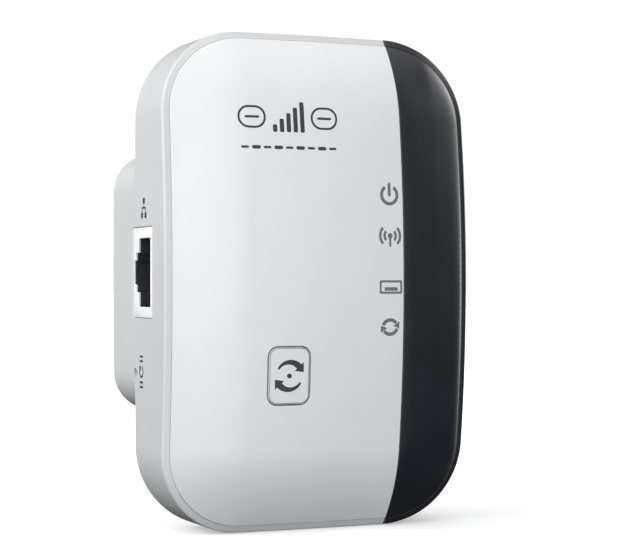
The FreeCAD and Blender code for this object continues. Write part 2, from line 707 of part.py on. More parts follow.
def light_guide():
    """Four columns on one carrier, from the lamps to the back of the trim, and two legs."""
    guide = rounded(box(LED_X - 1.6, LED_X + 1.6, -27.2, -26.2, -11.0, 18.6), 0.6, "y")
    for z in LED_Z:
        guide = guide.fuse(rod(1.1, LED_X, z, -30.2, BOARD_FACE - 0.85))
    for z in (-10.4, 18.0):
        guide = guide.fuse(rod(0.7, LED_X, z, -27.0, BOARD_FRONT - 0.02))
    return guide.common(behind_dome(COVER_T + 0.04)).removeSplitter()


def row_spots(rows):
    return [(x + i * step_x, z + i * step_z)
            for x, z, step_x, step_z, count in rows for i in range(count)]


def chip_resistors():
    return group([on_board(x, z, 1.0, 0.56, 0.55) for x, z in row_spots(RESISTOR_ROWS)])


def ceramic_capacitors():
    spots = row_spots(CAPACITOR_ROWS) + LOOSE_CAPACITORS
    return group([on_board(x, z, 1.2, 0.8, 0.8) for x, z in spots])


# ---------------------------------------------------------------- screws
def board_screws():
    """Cross-slot screws through both boards into the housing pillars."""
    screws = []
    for y, spots in ((BOARD_FRONT, BOARD_SCREWS), (POWER_Y0, POWER_SCREWS)):
        for x, z in spots:
            head = rod(2.0, x, z, y - 1.2, y - 0.02)
            for width, height in ((2.6, 0.5), (0.5, 2.6)):
                head = head.cut(pad(x, z, width, height, y - 1.5, y - 0.7))
            screws.append(joined([head, rod(1.0, x, z, y - 0.1, y + 5.5)]))
    return group(screws)


def housing_screws():
    """Screws from the rear counterbores into the posts of cover and trim."""
    screws = []
    for x, z in POST_SPOTS:
        head = rod(2.1, x, z, REAR_Y - 2.98, REAR_Y - 1.38)
        for i in range(3):
            slot = pad(0, 0, 3.0, 0.6, REAR_Y - 2.2, REAR_Y)
            slot.rotate(Vector(0, 0, 0), Vector(0, 1, 0), 60 * i)
            slot.translate(Vector(x, 0, z))
            head = head.cut(slot)
        screws.append(joined([head, rod(0.82, x, z, REAR_Y - 15.0, REAR_Y - 2.5)]))
    return group(screws)


# ---------------------------------------------------------------- antennas
def antenna(side):
    blank = box(side * 2.0, side * 17.5, -23.3, -15.3, ANTENNA_TOP - 0.8, ANTENNA_TOP)
    return rounded(blank, 0.6, "z")


def antenna_traces():
    return group([
        joined([box(side * x_a, side * x_b, y_a, y_b, ANTENNA_TOP + 0.01, ANTENNA_TOP + 0.08)
                for x_a, x_b, y_a, y_b in TRACE_BARS])
        for side in (-1, 1)])


def coax_cables():
    path = ((6.8, -17.6, 38.55), (8.5, -18.4, 37.2), (11.5, -20.0, 35.4),
            (11.0, -21.0, 31.0), (9.0, -21.2, 27.0))
    return group([wire_along([(side * x, y, z) for x, y, z in path], 0.55) for side in (-1, 1)])


# ---------------------------------------------------------------- power supply
def power_board():
    board = pad(0, 0, 51.2, 40.8, POWER_Y0, POWER_Y1, 5.5)
    for x, z in POWER_SCREWS:
        board = board.cut(rod(BOARD_HOLE_R, x, z, POWER_Y0 - 1, POWER_Y0 + 3))
    return board


def on_power(x, z, width, height, thickness, radius=0):
    """Block standing on the front of the power board."""
    return pad(x, z, width, height, POWER_FACE - thickness, POWER_FACE, radius)


def core_leg(z_a, z_b):
    """Room for the core's middle leg inside winding and bobbin."""
    return box(TRAFO_X - 1.95, TRAFO_X + 1.95, POWER_FACE - 10.65, POWER_FACE - 1.55, z_a, z_b)


def transformer_core():
    core = pad(TRAFO_X, TRAFO_Z, 13.0, 13.0, POWER_FACE - 10.6, POWER_FACE - 1.6)
    for side in (-1, 1):
        core = core.cut(on_power(TRAFO_X + side * 3.05, TRAFO_Z, 2.3, 9.8, 12))
    return core


def transformer_winding():
    coil = pad(TRAFO_X, TRAFO_Z, 8.3, 8.8, POWER_FACE - 11.2, POWER_FACE - 1.0)
    return rounded(coil, 1.2, "z").cut(core_leg(TRAFO_Z - 5, TRAFO_Z + 5))


def transformer_bobbin():
    """The two end flanges of the bobbin."""
    inner, outer = 4.42, 4.85
    flanges = []
    for side in (-1, 1):
        flange = box(TRAFO_X - 4.15, TRAFO_X + 4.15, POWER_FACE - 11.4, POWER_FACE - 0.9,
                     TRAFO_Z + side * inner, TRAFO_Z + side * outer)
        flanges.append(flange.cut(core_leg(TRAFO_Z + side * (inner - 1),
                                           TRAFO_Z + side * (outer + 1))))
    return group(flanges)


def transformer_pins():
    return group([rod(0.35, TRAFO_X + i * 3.2, TRAFO_Z + side * 4.63, POWER_FACE - 0.85, POWER_FACE)
                  for side in (-1, 1) for i in (-1, 1)])


def can_capacitor(x, z, radius, length):
    """Radial capacitor lying along Z, with a cross cut into its lower end."""
    y = POWER_FACE - radius - 0.15
    body = cylinder(radius, (x, y, z), ALONG_Z, length)
    body = body.makeChamfer(0.35, circles(body))
    arm = radius * 0.7
    for half_x, half_y in ((arm, 0.1), (0.1, arm)):
        body = body.cut(box(x - half_x, x + half_x, y - half_y, y + half_y, z - 0.1, z + 0.15))
    return body


def bulk_capacitors():
    return group([can_capacitor(14.8, 1.5, 4.0, 14.0), can_capacitor(21.4, 1.5, 2.4, 12.0)])


def output_capacitors():
    return group([can_capacitor(x, -18.6, 3.15, 11.0) for x in (-1.0, -8.4)])


def fuse():
    return rounded(on_power(19.75, -5.5, 8.5, 4.0, 4.0), 1.0, "x")


def bridge_rectifier():
    return on_power(10.5, -6.0, 6.0, 5.0, 2.8, 0.4)


def power_controller():
    return on_power(9.5, -13.5, 6.4, 4.9, 1.6, 0.3)


def output_diode():
    y, z, half = POWER_FACE - 1.5, -18.3, 0.25
    body = cylinder(1.35, (4.2, y, z), ALONG_X, 5.0)
    body = body.makeChamfer(0.2, circles(body))
    tails = []
    # lead from x, lead to x, x where it turns down to the board
    for x_min, x_max, bend_x in ((2.7, 4.4, 2.7), (9.0, 10.7, 10.2)):
        bar = box(x_min, x_max, y - half, y + half, z - half, z + half)
        drop = box(bend_x, bend_x + 0.5, y - half, POWER_FACE, z - half, z + half)
        tails.append(bar.fuse(drop))
    return body.fuse(tails)


def y_capacitor():
    x = 18.0
    disc = cylinder(3.4, (x, POWER_FACE - 3.7, -14.5), ALONG_Z, 3.0)
    disc = disc.makeFillet(0.9, circles(disc))
    return disc.fuse([rod(0.3, x + side * 2.0, -13.0, POWER_FACE - 1.9, POWER_FACE)
                      for side in (-1, 1)])


def input_choke():
    return Part.makeTorus(2.7, 1.3, Vector(-16.0, POWER_FACE - 1.45, -13.2), Vector(0, 1, 0))


def link_header():
    """Four-way header between the two boards."""
    header = on_power(LINK_CENTRE_X, LINK_Z, 10.4, 2.6, 2.4, 0.3)
    return header.cut(group([pad(x, LINK_Z, 0.72, 0.72, POWER_FACE - 3, POWER_FACE + 1)
                             for x in LINK_X]))


def link_pins():
    return group([pad(x, LINK_Z, 0.64, 0.64, BOARD_REAR + 0.02, POWER_FACE) for x in LINK_X])


def mains_leads():
    """Wires from the pin tails to the power board's rear side."""
    # x outwards from the pin, y, z
    path = ((1.9, -5.9, 0.0), (3.6, -5.4, -2.2), (5.0, -5.2, -5.5),
            (5.6, -5.7, -8.4), (5.6, -6.9, -9.2))
    return group([wire_along([(side * (PIN_X + x), y, z) for x, y, z in path], 0.65)
                  for side in (-1, 1)])


def insulation_sheet():
    """Sheet between the boards, notched at its lower right corner."""
    sheet = box(-9.3, 24.8, BOARD_REAR + 0.35, BOARD_REAR + 0.6, -20.0, 13.0)
    return sheet.cut(rod(3.0, 22.6, -20.0, BOARD_REAR - 2, BOARD_REAR + 4))


# ---------------------------------------------------------------- export
# Each of these functions builds the piece it is named after.
PIECES = (
    rear_housing, front_cover, side_trim, wps_button, reset_switch_bracket,
    plug_nose, pin_sleeves, rating_label, rj45_jack_body, rj45_jack_liner, rj45_contacts,
    main_board, chip_leads, rf_shield, crystal, ethernet_transformer, power_inductor,
    status_leds, light_guide, chip_resistors, ceramic_capacitors, board_screws, housing_screws,
    antenna_traces, coax_cables, power_board, transformer_core, transformer_winding,
    transformer_bobbin, transformer_pins, bulk_capacitors, output_capacitors, fuse,
    bridge_rectifier, power_controller, output_diode, y_capacitor, input_choke,
    link_header, link_pins, mains_leads, insulation_sheet,
)

os.makedirs("parts", exist_ok=True)
for piece in PIECES:
    save(piece.__name__, piece())
for chip_name, chip_row in CHIPS.items():
    save(chip_name, marked_chip(*chip_row))
for side_name, side_sign in (("left", -1), ("right", 1)):
    save("plug_pin_" + side_name, plug_pin(side_sign * PIN_X))
    save("antenna_" + side_name, antenna(side_sign))
save_press_switch("wps_switch", (BUTTON_X, BOARD_FACE, BUTTON_Z), (0, -1, 0),
                  WPS_SWITCH_H - 0.01, has_feet=True)
# The reset switch faces the left wall.
save_press_switch("reset_switch", (RESET_SWITCH_X, RESET_Y, RESET_Z), (-1, 0, 0),
                  4.2, has_feet=False)
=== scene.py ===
"""A wall-plug extender: a flat rounded box with a domed front and a two-pin plug behind.

X runs to the right, Z up, and the front faces -Y; the pins point back along +Y. Shapes are
worked out in millimetres and become metres in Skin.build. Outlines are drawn in (x, z),
except on the left wall, where they are drawn in (z, y).
"""
import json
import math
from collections import namedtuple

import bpy
import numpy as np
from mathutils import Matrix, Vector
from mathutils.geometry import delaunay_2d_cdt

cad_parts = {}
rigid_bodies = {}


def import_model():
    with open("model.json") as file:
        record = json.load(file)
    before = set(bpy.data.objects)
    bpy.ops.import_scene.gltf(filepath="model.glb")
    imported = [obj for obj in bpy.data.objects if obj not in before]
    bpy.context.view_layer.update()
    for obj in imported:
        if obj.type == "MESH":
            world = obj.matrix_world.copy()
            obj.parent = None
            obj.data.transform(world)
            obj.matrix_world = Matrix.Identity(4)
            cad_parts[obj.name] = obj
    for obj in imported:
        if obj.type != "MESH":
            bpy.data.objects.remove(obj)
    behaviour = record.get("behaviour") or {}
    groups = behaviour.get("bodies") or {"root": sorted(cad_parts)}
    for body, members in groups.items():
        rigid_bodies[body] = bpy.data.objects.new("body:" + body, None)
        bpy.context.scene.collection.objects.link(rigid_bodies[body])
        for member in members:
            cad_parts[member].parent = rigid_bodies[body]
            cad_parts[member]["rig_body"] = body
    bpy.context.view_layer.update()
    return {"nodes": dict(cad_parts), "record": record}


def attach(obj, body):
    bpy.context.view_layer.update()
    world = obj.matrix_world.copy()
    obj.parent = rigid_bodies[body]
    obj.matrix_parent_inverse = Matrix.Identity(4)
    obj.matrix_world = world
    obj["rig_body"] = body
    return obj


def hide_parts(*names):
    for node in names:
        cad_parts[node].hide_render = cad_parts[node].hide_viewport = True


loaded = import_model()
BASE, PRESS = "extender", "wps_button_body"     # the fixed body and the one that is pressed

# ------------------------------------------------------------------ dimensions (mm)
HALF_W, HALF_H, CORNER_R = 28.7, 43.5, 14.8
SIDE_R, TOP_R = 3260.0, 858.0           # flat arcs of the sides, and of the top and bottom
RIM_Y, RIM_R = -29.5, 238.0             # front rim: y at mid height, radius of its bow
REAR_Y = -12.2                          # rear face above and below the plug block
REAR_EDGE_R = 0.8
BLOCK_HALF_H, BLOCK_R = 23.5, 7.0       # plug block, as wide as the body, rear face at y = 0
WALL = 2.0
WALL_IN = 2.2                           # inner side of the body's side wall

LIP, GROOVE, SEAM = 1.2, 0.15, 0.025    # lip width, groove beside it, gap to the cover
DOME_IN, COVER_IN = LIP + GROOVE, LIP + SEAM
LIP_OUT, LIP_IN = 0.72, 0.31            # the lip's outer and inner edge behind the rim curve
LIP_R, LIP_TILT = 0.55, 0.42            # outer rounding; extra setback at the top and bottom

DOME_RISE, DOME_SAG, DOME_ROLL, DOME_DROP = 4.196, 0.003, 13.0, 0.3
CROWN_X, CROWN_BLEND, CROWN_FADE = 16.0, 6.0, 2.6   # extra swell near the right edge
CROWN_BASE, CROWN_SLOPE = 0.3, 0.4

SPLIT_X, SPLIT_GAP = 14.2, 0.08         # vertical joint between the cover and the dark trim
COVER_EDGE_R, COVER_PITCH = 0.11, 0.62  # edge rounding and mesh spacing of cover and trim

BUTTON_X, BUTTON_Z = -7.6, -16.0
BUTTON_W, BUTTON_H, BUTTON_R, BUTTON_GAP = 7.4, 9.7, 1.6, 0.25
JACK_Z, JACK_HALF_Z = 1.67, 7.85        # window in the left wall
JACK_FRONT_Y, JACK_REAR_Y, JACK_PLAY = -22.1, -11.8, 0.2
RESET_Y, RESET_Z, RESET_R = -13.0, -15.9, 0.8
SOCKET_TIP, SOCKET_CORNER_X, SOCKET_HALF_H = 17.65, 13.05, 6.85     # six-sided plug opening
SOCKET_PLAY = 0.05
SLOT_PITCH, SLOT_W, SLOT_H, SLOT_R, SLOT_Z = 4.0, 1.6, 11.0, 0.75, 33.0
SCREW_X, SCREW_Z, SCREW_R = 18.5, 31.0, 2.4
PIN_X = 9.3


# ------------------------------------------------------------------ body curves
def smooth_step(value):
    value = np.clip(value, 0, 1)
    return value * value * (3 - 2 * value)


def rim_at(z):
    """Y of the front rim, which bows forward at mid height."""
    return RIM_Y + RIM_R - np.sqrt(RIM_R ** 2 - np.asarray(z, float) ** 2)


def dome_at(x, z):
    """Y of the domed front, rising with the distance in from its rounded outline."""
    x, z = np.asarray(x, float), np.asarray(z, float)
    radius = CORNER_R - DOME_IN
    over_x = np.abs(x) - (HALF_W - DOME_IN - radius)
    over_z = np.abs(z) - (HALF_H - DOME_IN - radius)
    inset = (radius - np.hypot(np.maximum(over_x, 0), np.maximum(over_z, 0))
             - np.minimum(np.maximum(over_x, over_z), 0))
    crown = (smooth_step((x - CROWN_X) / CROWN_BLEND) * (CROWN_BASE + CROWN_SLOPE * inset)
             * np.exp(-np.maximum(inset, 0) / CROWN_FADE))
    rise = 1 - (1 - np.minimum(inset, DOME_ROLL) / DOME_ROLL) ** 2
    return rim_at(z) + DOME_DROP - (DOME_RISE - DOME_SAG * x * x) * rise - crown


def dome_normal(x, z):
    step = 0.05
    slope_x = (dome_at(x + step, z) - dome_at(x - step, z)) / (2 * step)
    slope_z = (dome_at(x, z + step) - dome_at(x, z - step)) / (2 * step)
    normal = np.stack([slope_x, -np.ones_like(slope_x), slope_z], 1)
    return normal / np.linalg.norm(normal, axis=1)[:, None]


def corner_centre(half_w, half_h, radius):
    """Centre of the corner arc tangent to the side and top arcs, by Newton's method."""
    side_x, side_reach = half_w - SIDE_R, SIDE_R - radius
    top_z, top_reach = half_h - TOP_R, TOP_R - radius
    x, z = half_w - radius, half_h - radius
    for _ in range(40):
        side_error = math.hypot(x - side_x, z) - side_reach
        top_error = math.hypot(x, z - top_z) - top_reach
        side_dx, side_dz = (x - side_x) / (side_reach + side_error), z / (side_reach + side_error)
        top_dx, top_dz = x / (top_reach + top_error), (z - top_z) / (top_reach + top_error)
        det = side_dx * top_dz - side_dz * top_dx
        x -= (side_error * top_dz - top_error * side_dz) / det
        z -= (top_error * side_dx - side_error * top_dx) / det
    return x, z


def outline(half_w=HALF_W, half_h=HALF_H, radius=CORNER_R, side_n=64, top_n=40, corner_n=44):
    """Closed counter-clockwise outline in (x, z): points and outward unit normals."""
    x, z = corner_centre(half_w, half_h, radius)
    side = math.atan2(z, x - (half_w - SIDE_R))
    top = math.atan2(z - (half_h - TOP_R), x)
    turn, half = 2 * math.pi, math.pi
    # centre x, centre z, radius, start angle, end angle, point count
    arcs = ((half_w - SIDE_R, 0, SIDE_R, -side, side, side_n),
            (x, z, radius, side, top, corner_n),
            (0, half_h - TOP_R, TOP_R, top, half - top, top_n),
            (-x, z, radius, half - top, half - side, corner_n),
            (SIDE_R - half_w, 0, SIDE_R, half - side, half + side, side_n),
            (-x, -z, radius, half + side, turn - (half - top), corner_n),
            (0, TOP_R - half_h, TOP_R, half + top, turn - top, top_n),
            (x, -z, radius, -top, -side, corner_n))
    rows = []
    for arc_x, arc_z, arc_r, start, end, count in arcs:
        for angle in np.linspace(start, end, count, endpoint=False):
            cos, sin = math.cos(angle), math.sin(angle)
            rows.append((arc_x + arc_r * cos, arc_z + arc_r * sin, cos, sin))
    rows = np.array(rows)
    return rows[:, :2], rows[:, 2:]


def clip_outline(points, normals, side, cut, axis=0):
    """The open run of a closed outline on one side of a line, its ends exactly on the line."""
    inside = (points[:, axis] - cut) * side > 0
    count = len(points)
    run = [next(i for i in range(count) if inside[i] and not inside[i - 1])]
    while inside[(run[-1] + 1) % count]:
        run.append((run[-1] + 1) % count)

    def crossing(i, j):
        t = (cut - points[i, axis]) / (points[j, axis] - points[i, axis])
        normal = normals[i] * (1 - t) + normals[j] * t
        return points[i] * (1 - t) + points[j] * t, normal / np.linalg.norm(normal)

    first, first_normal = crossing((run[0] - 1) % count, run[0])
    last, last_normal = crossing(run[-1], (run[-1] + 1) % count)
    points = np.vstack([first, points[run], last])
    normals = np.vstack([first_normal, normals[run], last_normal])
    clear_of_ends = [k for k in range(1, len(points) - 1)
                     if np.linalg.norm(points[k] - first) > 0.05
                     and np.linalg.norm(points[k] - last) > 0.05]
    rows = [0] + clear_of_ends + [len(points) - 1]
    return points[rows], normals[rows]


def insert_heights(points, normals, heights):
    """Add a column at each height to the left side of an open run."""
    for height in heights:
        for i in range(len(points) - 1):
            a, b = points[i], points[i + 1]
            if a[0] < -20 and b[0] < -20 and (a[1] - height) * (b[1] - height) < 0:
                t = (height - a[1]) / (b[1] - a[1])
                normal = normals[i] * (1 - t) + normals[i + 1] * t
                points = np.insert(points, i + 1, a * (1 - t) + b * t, 0)
                normals = np.insert(normals, i + 1, normal / np.linalg.norm(normal), 0)
                break
    return points, normals


# ------------------------------------------------------------------ flat shapes
def rounded_rect(x, z, width, height, radius, steps=8):
    points = []
    for quarter, (side_x, side_z) in enumerate(((1, 1), (-1, 1), (-1, -1), (1, -1))):
        for t in np.linspace(0, math.pi / 2, steps):
            angle = quarter * math.pi / 2 + t
            points.append((x + side_x * (width / 2 - radius) + radius * math.cos(angle),
                           z + side_z * (height / 2 - radius) + radius * math.sin(angle)))
    return np.array(points)


def rect_frame(x, z, outer, inner, steps=8):
    """A rounded rectangle with another cut out; each is (width, height, radius)."""
    return rounded_rect(x, z, *outer, steps), [rounded_rect(x, z, *inner, steps)]


def circle(x, z, radius, count):
    angles = np.linspace(0, 2 * math.pi, count, endpoint=False)
    return np.stack([x + radius * np.cos(angles), z + radius * np.sin(angles)], 1)


def bar(x0, z0, x1, z1, width):
    """A straight stroke with round ends."""
    start, end = np.array([x0, z0], float), np.array([x1, z1], float)
    heading = math.atan2(end[1] - start[1], end[0] - start[0])
    return np.array([centre + width / 2 * np.array([math.cos(heading + t), math.sin(heading + t)])
                     for centre, turn in ((end, -math.pi / 2), (start, math.pi / 2))
                     for t in np.linspace(turn, turn + math.pi, 8)])


def arc_stroke(x, z, radius, start, end, width, end_width=None):
    """A curved stroke between two angles in degrees, even or tapering to end_width."""
    angles = np.radians(np.linspace(start, end, 26))
    widths = np.linspace(width, end_width or width, 26)
    outer, inner = (np.stack([x + reach * np.cos(angles), z + reach * np.sin(angles)], 1)
                    for reach in (radius + widths / 2, radius - widths / 2))
    return np.vstack([outer, inner[::-1]])


def arrow_head(x, z, radius, degrees, half_width, length):
    """A triangle on a circle, pointing clockwise from the given angle."""
    angle = math.radians(degrees)
    outward = np.array([math.cos(angle), math.sin(angle)])
    clockwise = np.array([math.sin(angle), -math.cos(angle)])
    middle = np.array([x + radius * outward[0], z + radius * outward[1]])
    return np.array([middle + outward * half_width, middle - outward * half_width,
                     middle + clockwise * length])


def densify(polygon, step):
    points = []
    for a, b in zip(polygon, np.roll(polygon, -1, 0)):
        parts = max(1, int(math.ceil(np.linalg.norm(b - a) / step)))
        points += [a + (b - a) * k / parts for k in range(parts)]
    return np.array(points)


def soften(polygon, radius, steps=6):
    """Round the corners of a convex counter-clockwise polygon."""
    points = []
    for i in range(len(polygon)):
        before, corner, after = polygon[i - 1], polygon[i], polygon[(i + 1) % len(polygon)]
        arrive = (corner - before) / np.linalg.norm(corner - before)
        leave = (after - corner) / np.linalg.norm(after - corner)
        half = math.acos(float(np.clip(np.dot(arrive, leave), -1, 1))) / 2
        cut = radius * math.tan(half)
        first, last = corner - arrive * cut, corner + leave * cut
        centre = first + np.array([-arrive[1], arrive[0]]) * radius
        start = math.atan2(first[1] - centre[1], first[0] - centre[0])
        end = math.atan2(last[1] - centre[1], last[0] - centre[0])
        sweep = (end - start + math.pi) % (2 * math.pi) - math.pi
        for k in range(steps + 1):
            angle = start + sweep * k / steps
            points.append(centre + radius * np.array([math.cos(angle), math.sin(angle)]))
    return np.array(points)


def signed_area(polygon):
    x, y = polygon[:, 0], polygon[:, 1]
    return 0.5 * float(np.sum(x * np.roll(y, -1) - np.roll(x, -1) * y))


def ccw(polygon):
    return polygon if signed_area(polygon) > 0 else polygon[::-1]


def miters(polygon):
    """Outward miter and unit vectors at each vertex of a counter-clockwise polygon."""
    edges = np.roll(polygon, -1, 0) - polygon
    edges = edges / np.maximum(np.linalg.norm(edges, axis=1), 1e-12)[:, None]
    normals = np.stack([edges[:, 1], -edges[:, 0]], 1)
    unit = normals + np.roll(normals, 1, 0)
    unit = unit / np.maximum(np.linalg.norm(unit, axis=1), 1e-9)[:, None]
    cosine = np.clip(np.sum(unit * normals, 1), 0.35, 1)
    return unit / cosine[:, None], unit


def inside_polygon(points, polygon):
    x, y = points[:, 0][:, None], points[:, 1][:, None]
    x1, y1 = polygon[:, 0][None], polygon[:, 1][None]
    x2, y2 = np.roll(polygon[:, 0], -1)[None], np.roll(polygon[:, 1], -1)[None]
    with np.errstate(divide="ignore", invalid="ignore"):
        crossing_x = (x2 - x1) * (y - y1) / (y2 - y1) + x1
    return (np.sum(((y1 > y) != (y2 > y)) & (x < crossing_x), 1) % 2) == 1


def inside_region(points, outer, holes):
    inside = inside_polygon(points, outer)
    for hole in holes:
        inside &= ~inside_polygon(points, hole)
    return inside


def fill_region(outer, holes, pitch):
    """Triangles of a flat region with holes, over staggered rows: (points, triangles)."""
    edges, base = [], 0
    for loop in (outer, *holes):
        count = len(loop)
        edges += [(base + i, base + (i + 1) % count) for i in range(count)]
        base += count
    border = np.vstack([outer, *holes])
    low, high = outer.min(0), outer.max(0)
    row_ratio = 0.866
    rows = []
    for j in range(int((high[1] - low[1]) / (pitch * row_ratio)) + 1):
        z = low[1] + (j + 0.5) * pitch * row_ratio
        xs = np.arange(low[0] + (0.25 if j % 2 else 0.75) * pitch, high[0], pitch)
        rows.append(np.stack([xs, np.full_like(xs, z)], 1))
    grid = np.vstack(rows)
    grid = grid[inside_region(grid, outer, holes)]
    nearest = np.full(len(grid), 1e9)
    for k in range(0, len(border), 200):        # in chunks, to bound the memory used
        distance = np.linalg.norm(grid[:, None] - border[None, k:k + 200], axis=2).min(1)
        nearest = np.minimum(nearest, distance)
    points = np.vstack([border, grid[nearest > 0.55 * pitch]])

    vertices, _, faces, origins, _, _ = delaunay_2d_cdt(
        [Vector(point) for point in points], edges, [], 0, 1e-6)
    placed = np.array([points[origin[0]] if len(origin) else (vertex[0], vertex[1])
                       for vertex, origin in zip(vertices, origins)])
    triangles = np.array([face for face in faces if len(face) == 3])
    inside = inside_region(placed[triangles].mean(1), outer, holes)

    # whole regions between the outlines are kept or dropped, so that no sliver is misjudged
    vertex_of = {i: k for k, origin in enumerate(origins) for i in origin}
    walls = {frozenset((vertex_of[i], vertex_of[j])) for i, j in edges
             if i in vertex_of and j in vertex_of}
    parent, owner = list(range(len(triangles))), {}

    def root(i):
        while parent[i] != i:
            parent[i] = parent[parent[i]]
            i = parent[i]
        return i

    for k, triangle in enumerate(triangles.tolist()):
        for i in range(3):
            edge = frozenset((triangle[i], triangle[i - 1]))
            if edge in walls:
                continue
            if edge in owner:
                parent[root(k)] = root(owner[edge])
            else:
                owner[edge] = k
    group = np.array([root(k) for k in range(len(triangles))])
    first = placed[triangles[:, 1]] - placed[triangles[:, 0]]
    second = placed[triangles[:, 2]] - placed[triangles[:, 0]]
    size = np.abs(first[:, 0] * second[:, 1] - first[:, 1] * second[:, 0]) / 2
    score = np.bincount(group, weights=np.where(inside, size, -size), minlength=len(triangles))
    exact = abs(signed_area(outer)) - sum(abs(signed_area(hole)) for hole in holes)
    kept = score[group] > 0.01 * exact
    if abs(size[kept].sum() - exact) > 0.005 * exact:
        kept = inside
    return placed, triangles[kept]


# ------------------------------------------------------------------ mesh builder
class Skin:
    """Points in mm with a normal each, and faces; points of one shell are welded by build."""

    def __init__(self):
        self.points, self.normals, self.shells, self.faces = [], [], [], []
        self.count, self.shell = 0, 0

    def add(self, points, normals):
        """Add points, with one normal each or one for all; returns the first index."""
        normals = np.asarray(normals, float).reshape(-1, 3)
        self.points.append(points)
        self.normals.append(np.broadcast_to(normals, (len(points), 3)))
        self.shells.append(np.full(len(points), self.shell, np.int64))
        self.count += len(points)
        return self.count - len(points)

    def band(self, first, second, count):
        """Join two closed rings of points."""
        for i in range(count):
            j = (i + 1) % count
            self.faces.append((first + i, first + j, second + j, second + i))

    def build(self, name, body, material, slot=None, replaces=()):
        points, normals = np.vstack(self.points), np.vstack(self.normals)
        key = np.column_stack([np.round(points * 2000).astype(np.int64),
                               np.concatenate(self.shells)])
        _, first, welded = np.unique(key, axis=0, return_index=True, return_inverse=True)
        welded = welded.reshape(-1)
        points = points[first]
        faces, corner_normals = [], []
        for face in self.faces:
            ring = [int(welded[i]) for i in face]
            kept = [k for k in range(len(ring)) if ring[k] != ring[k - 1]]
            if len(kept) < 3 or len({ring[k] for k in kept}) < 3:
                continue
            ring, face_normals = [ring[k] for k in kept], [normals[face[k]] for k in kept]
            here = points[ring]
            after = np.roll(here, -1, 0)
            apart, both = here - after, here + after
            facing = np.array([np.sum(apart[:, 1] * both[:, 2]),
                               np.sum(apart[:, 2] * both[:, 0]),
                               np.sum(apart[:, 0] * both[:, 1])])
            if np.linalg.norm(facing) < 1e-9:
                continue
            if np.dot(facing, np.sum(face_normals, 0)) < 0:
                ring, face_normals = ring[::-1], face_normals[::-1]
            faces.append(ring)
            corner_normals += face_normals
        mesh = bpy.data.meshes.new(name)
        mesh.from_pydata((points * 0.001).tolist(), [], faces)
        mesh.polygons.foreach_set("use_smooth", [True] * len(mesh.polygons))
        mesh.update()
        corner_normals = np.array(corner_normals)
        corner_normals /= np.maximum(np.linalg.norm(corner_normals, axis=1), 1e-9)[:, None]
        mesh.normals_split_custom_set(corner_normals.tolist())
        mesh.materials.append(material)
        obj = bpy.data.objects.new(name, mesh)
        bpy.context.scene.collection.objects.link(obj)
        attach(obj, body)
        if replaces:
            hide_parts(*replaces)
        return obj


# A sheet over a 2-D domain: where a point goes, its normal, a domain vector in space,
# and the direction into the material.
Surface = namedtuple("Surface", "place normal lift inward")


def lift_xz(vectors):
    return np.stack([vectors[:, 0], np.zeros(len(vectors)), vectors[:, 1]], 1)


def flat_back(y):
    return Surface(lambda p: np.stack([p[:, 0], np.full(len(p), float(y)), p[:, 1]], 1),
                   lambda p: np.tile((0.0, 1.0, 0.0), (len(p), 1)),
                   lift_xz, np.array((0.0, -1.0, 0.0)))


def wall_x(z):
    return SIDE_R - HALF_W - np.sqrt(SIDE_R ** 2 - np.asarray(z, float) ** 2)


FRONT = Surface(lambda p: np.stack([p[:, 0], dome_at(p[:, 0], p[:, 1]), p[:, 1]], 1),
                lambda p: dome_normal(p[:, 0], p[:, 1]),
                lift_xz, np.array((0.0, 1.0, 0.0)))
LEFT = Surface(lambda p: np.stack([wall_x(p[:, 0]), p[:, 1], p[:, 0]], 1),
               lambda p: np.stack([-np.sqrt(1 - (p[:, 0] / SIDE_R) ** 2), 0 * p[:, 0],
                                   p[:, 0] / SIDE_R], 1),
               lambda d: np.stack([np.zeros(len(d)), d[:, 1], d[:, 0]], 1),
               np.array((1.0, 0.0, 0.0)))


def plate(skin, surface, outer, holes=(), *, edge_r, hole_r=0.0, thick, pitch, proud=0.0):
    """A closed sheet with rounded top edges at its outline and holes, proud of its surface."""
    skin.shell += 1
    inward, steps = surface.inward, 5
    loops = [(ccw(outer), 1.0, edge_r)] + [(ccw(hole), -1.0, hole_r) for hole in holes]

    def face(polygons, depth, facing):
        points, triangles = fill_region(polygons[0], polygons[1:], pitch)
        base = skin.add(surface.place(points) + depth * inward, facing * surface.normal(points))
        skin.faces += [tuple(int(base + i) for i in triangle) for triangle in triangles]

    face([loop - sign * radius * miters(loop)[0] for loop, sign, radius in loops], -proud, 1.0)
    for loop, sign, radius in loops:
        miter, unit = miters(loop)
        side = surface.lift(unit * sign)
        side = side / np.maximum(np.linalg.norm(side, axis=1), 1e-9)[:, None]
        rings = []
        if radius > 0:
            for k in range(steps + 1):
                t = math.pi / 2 * k / steps
                ring = loop - sign * radius * (1 - math.sin(t)) * miter
                rings.append(skin.add(
                    surface.place(ring) + (radius * (1 - math.cos(t)) - proud) * inward,
                    surface.normal(ring) * math.cos(t) + side * math.sin(t)))
        else:
            rings.append(skin.add(surface.place(loop) - proud * inward, side))
        rings.append(skin.add(surface.place(loop) + (thick - proud) * inward, side))
        for upper, lower in zip(rings, rings[1:]):
            skin.band(upper, lower, len(loop))
    face([loop for loop, _, _ in loops], thick - proud, -1.0)


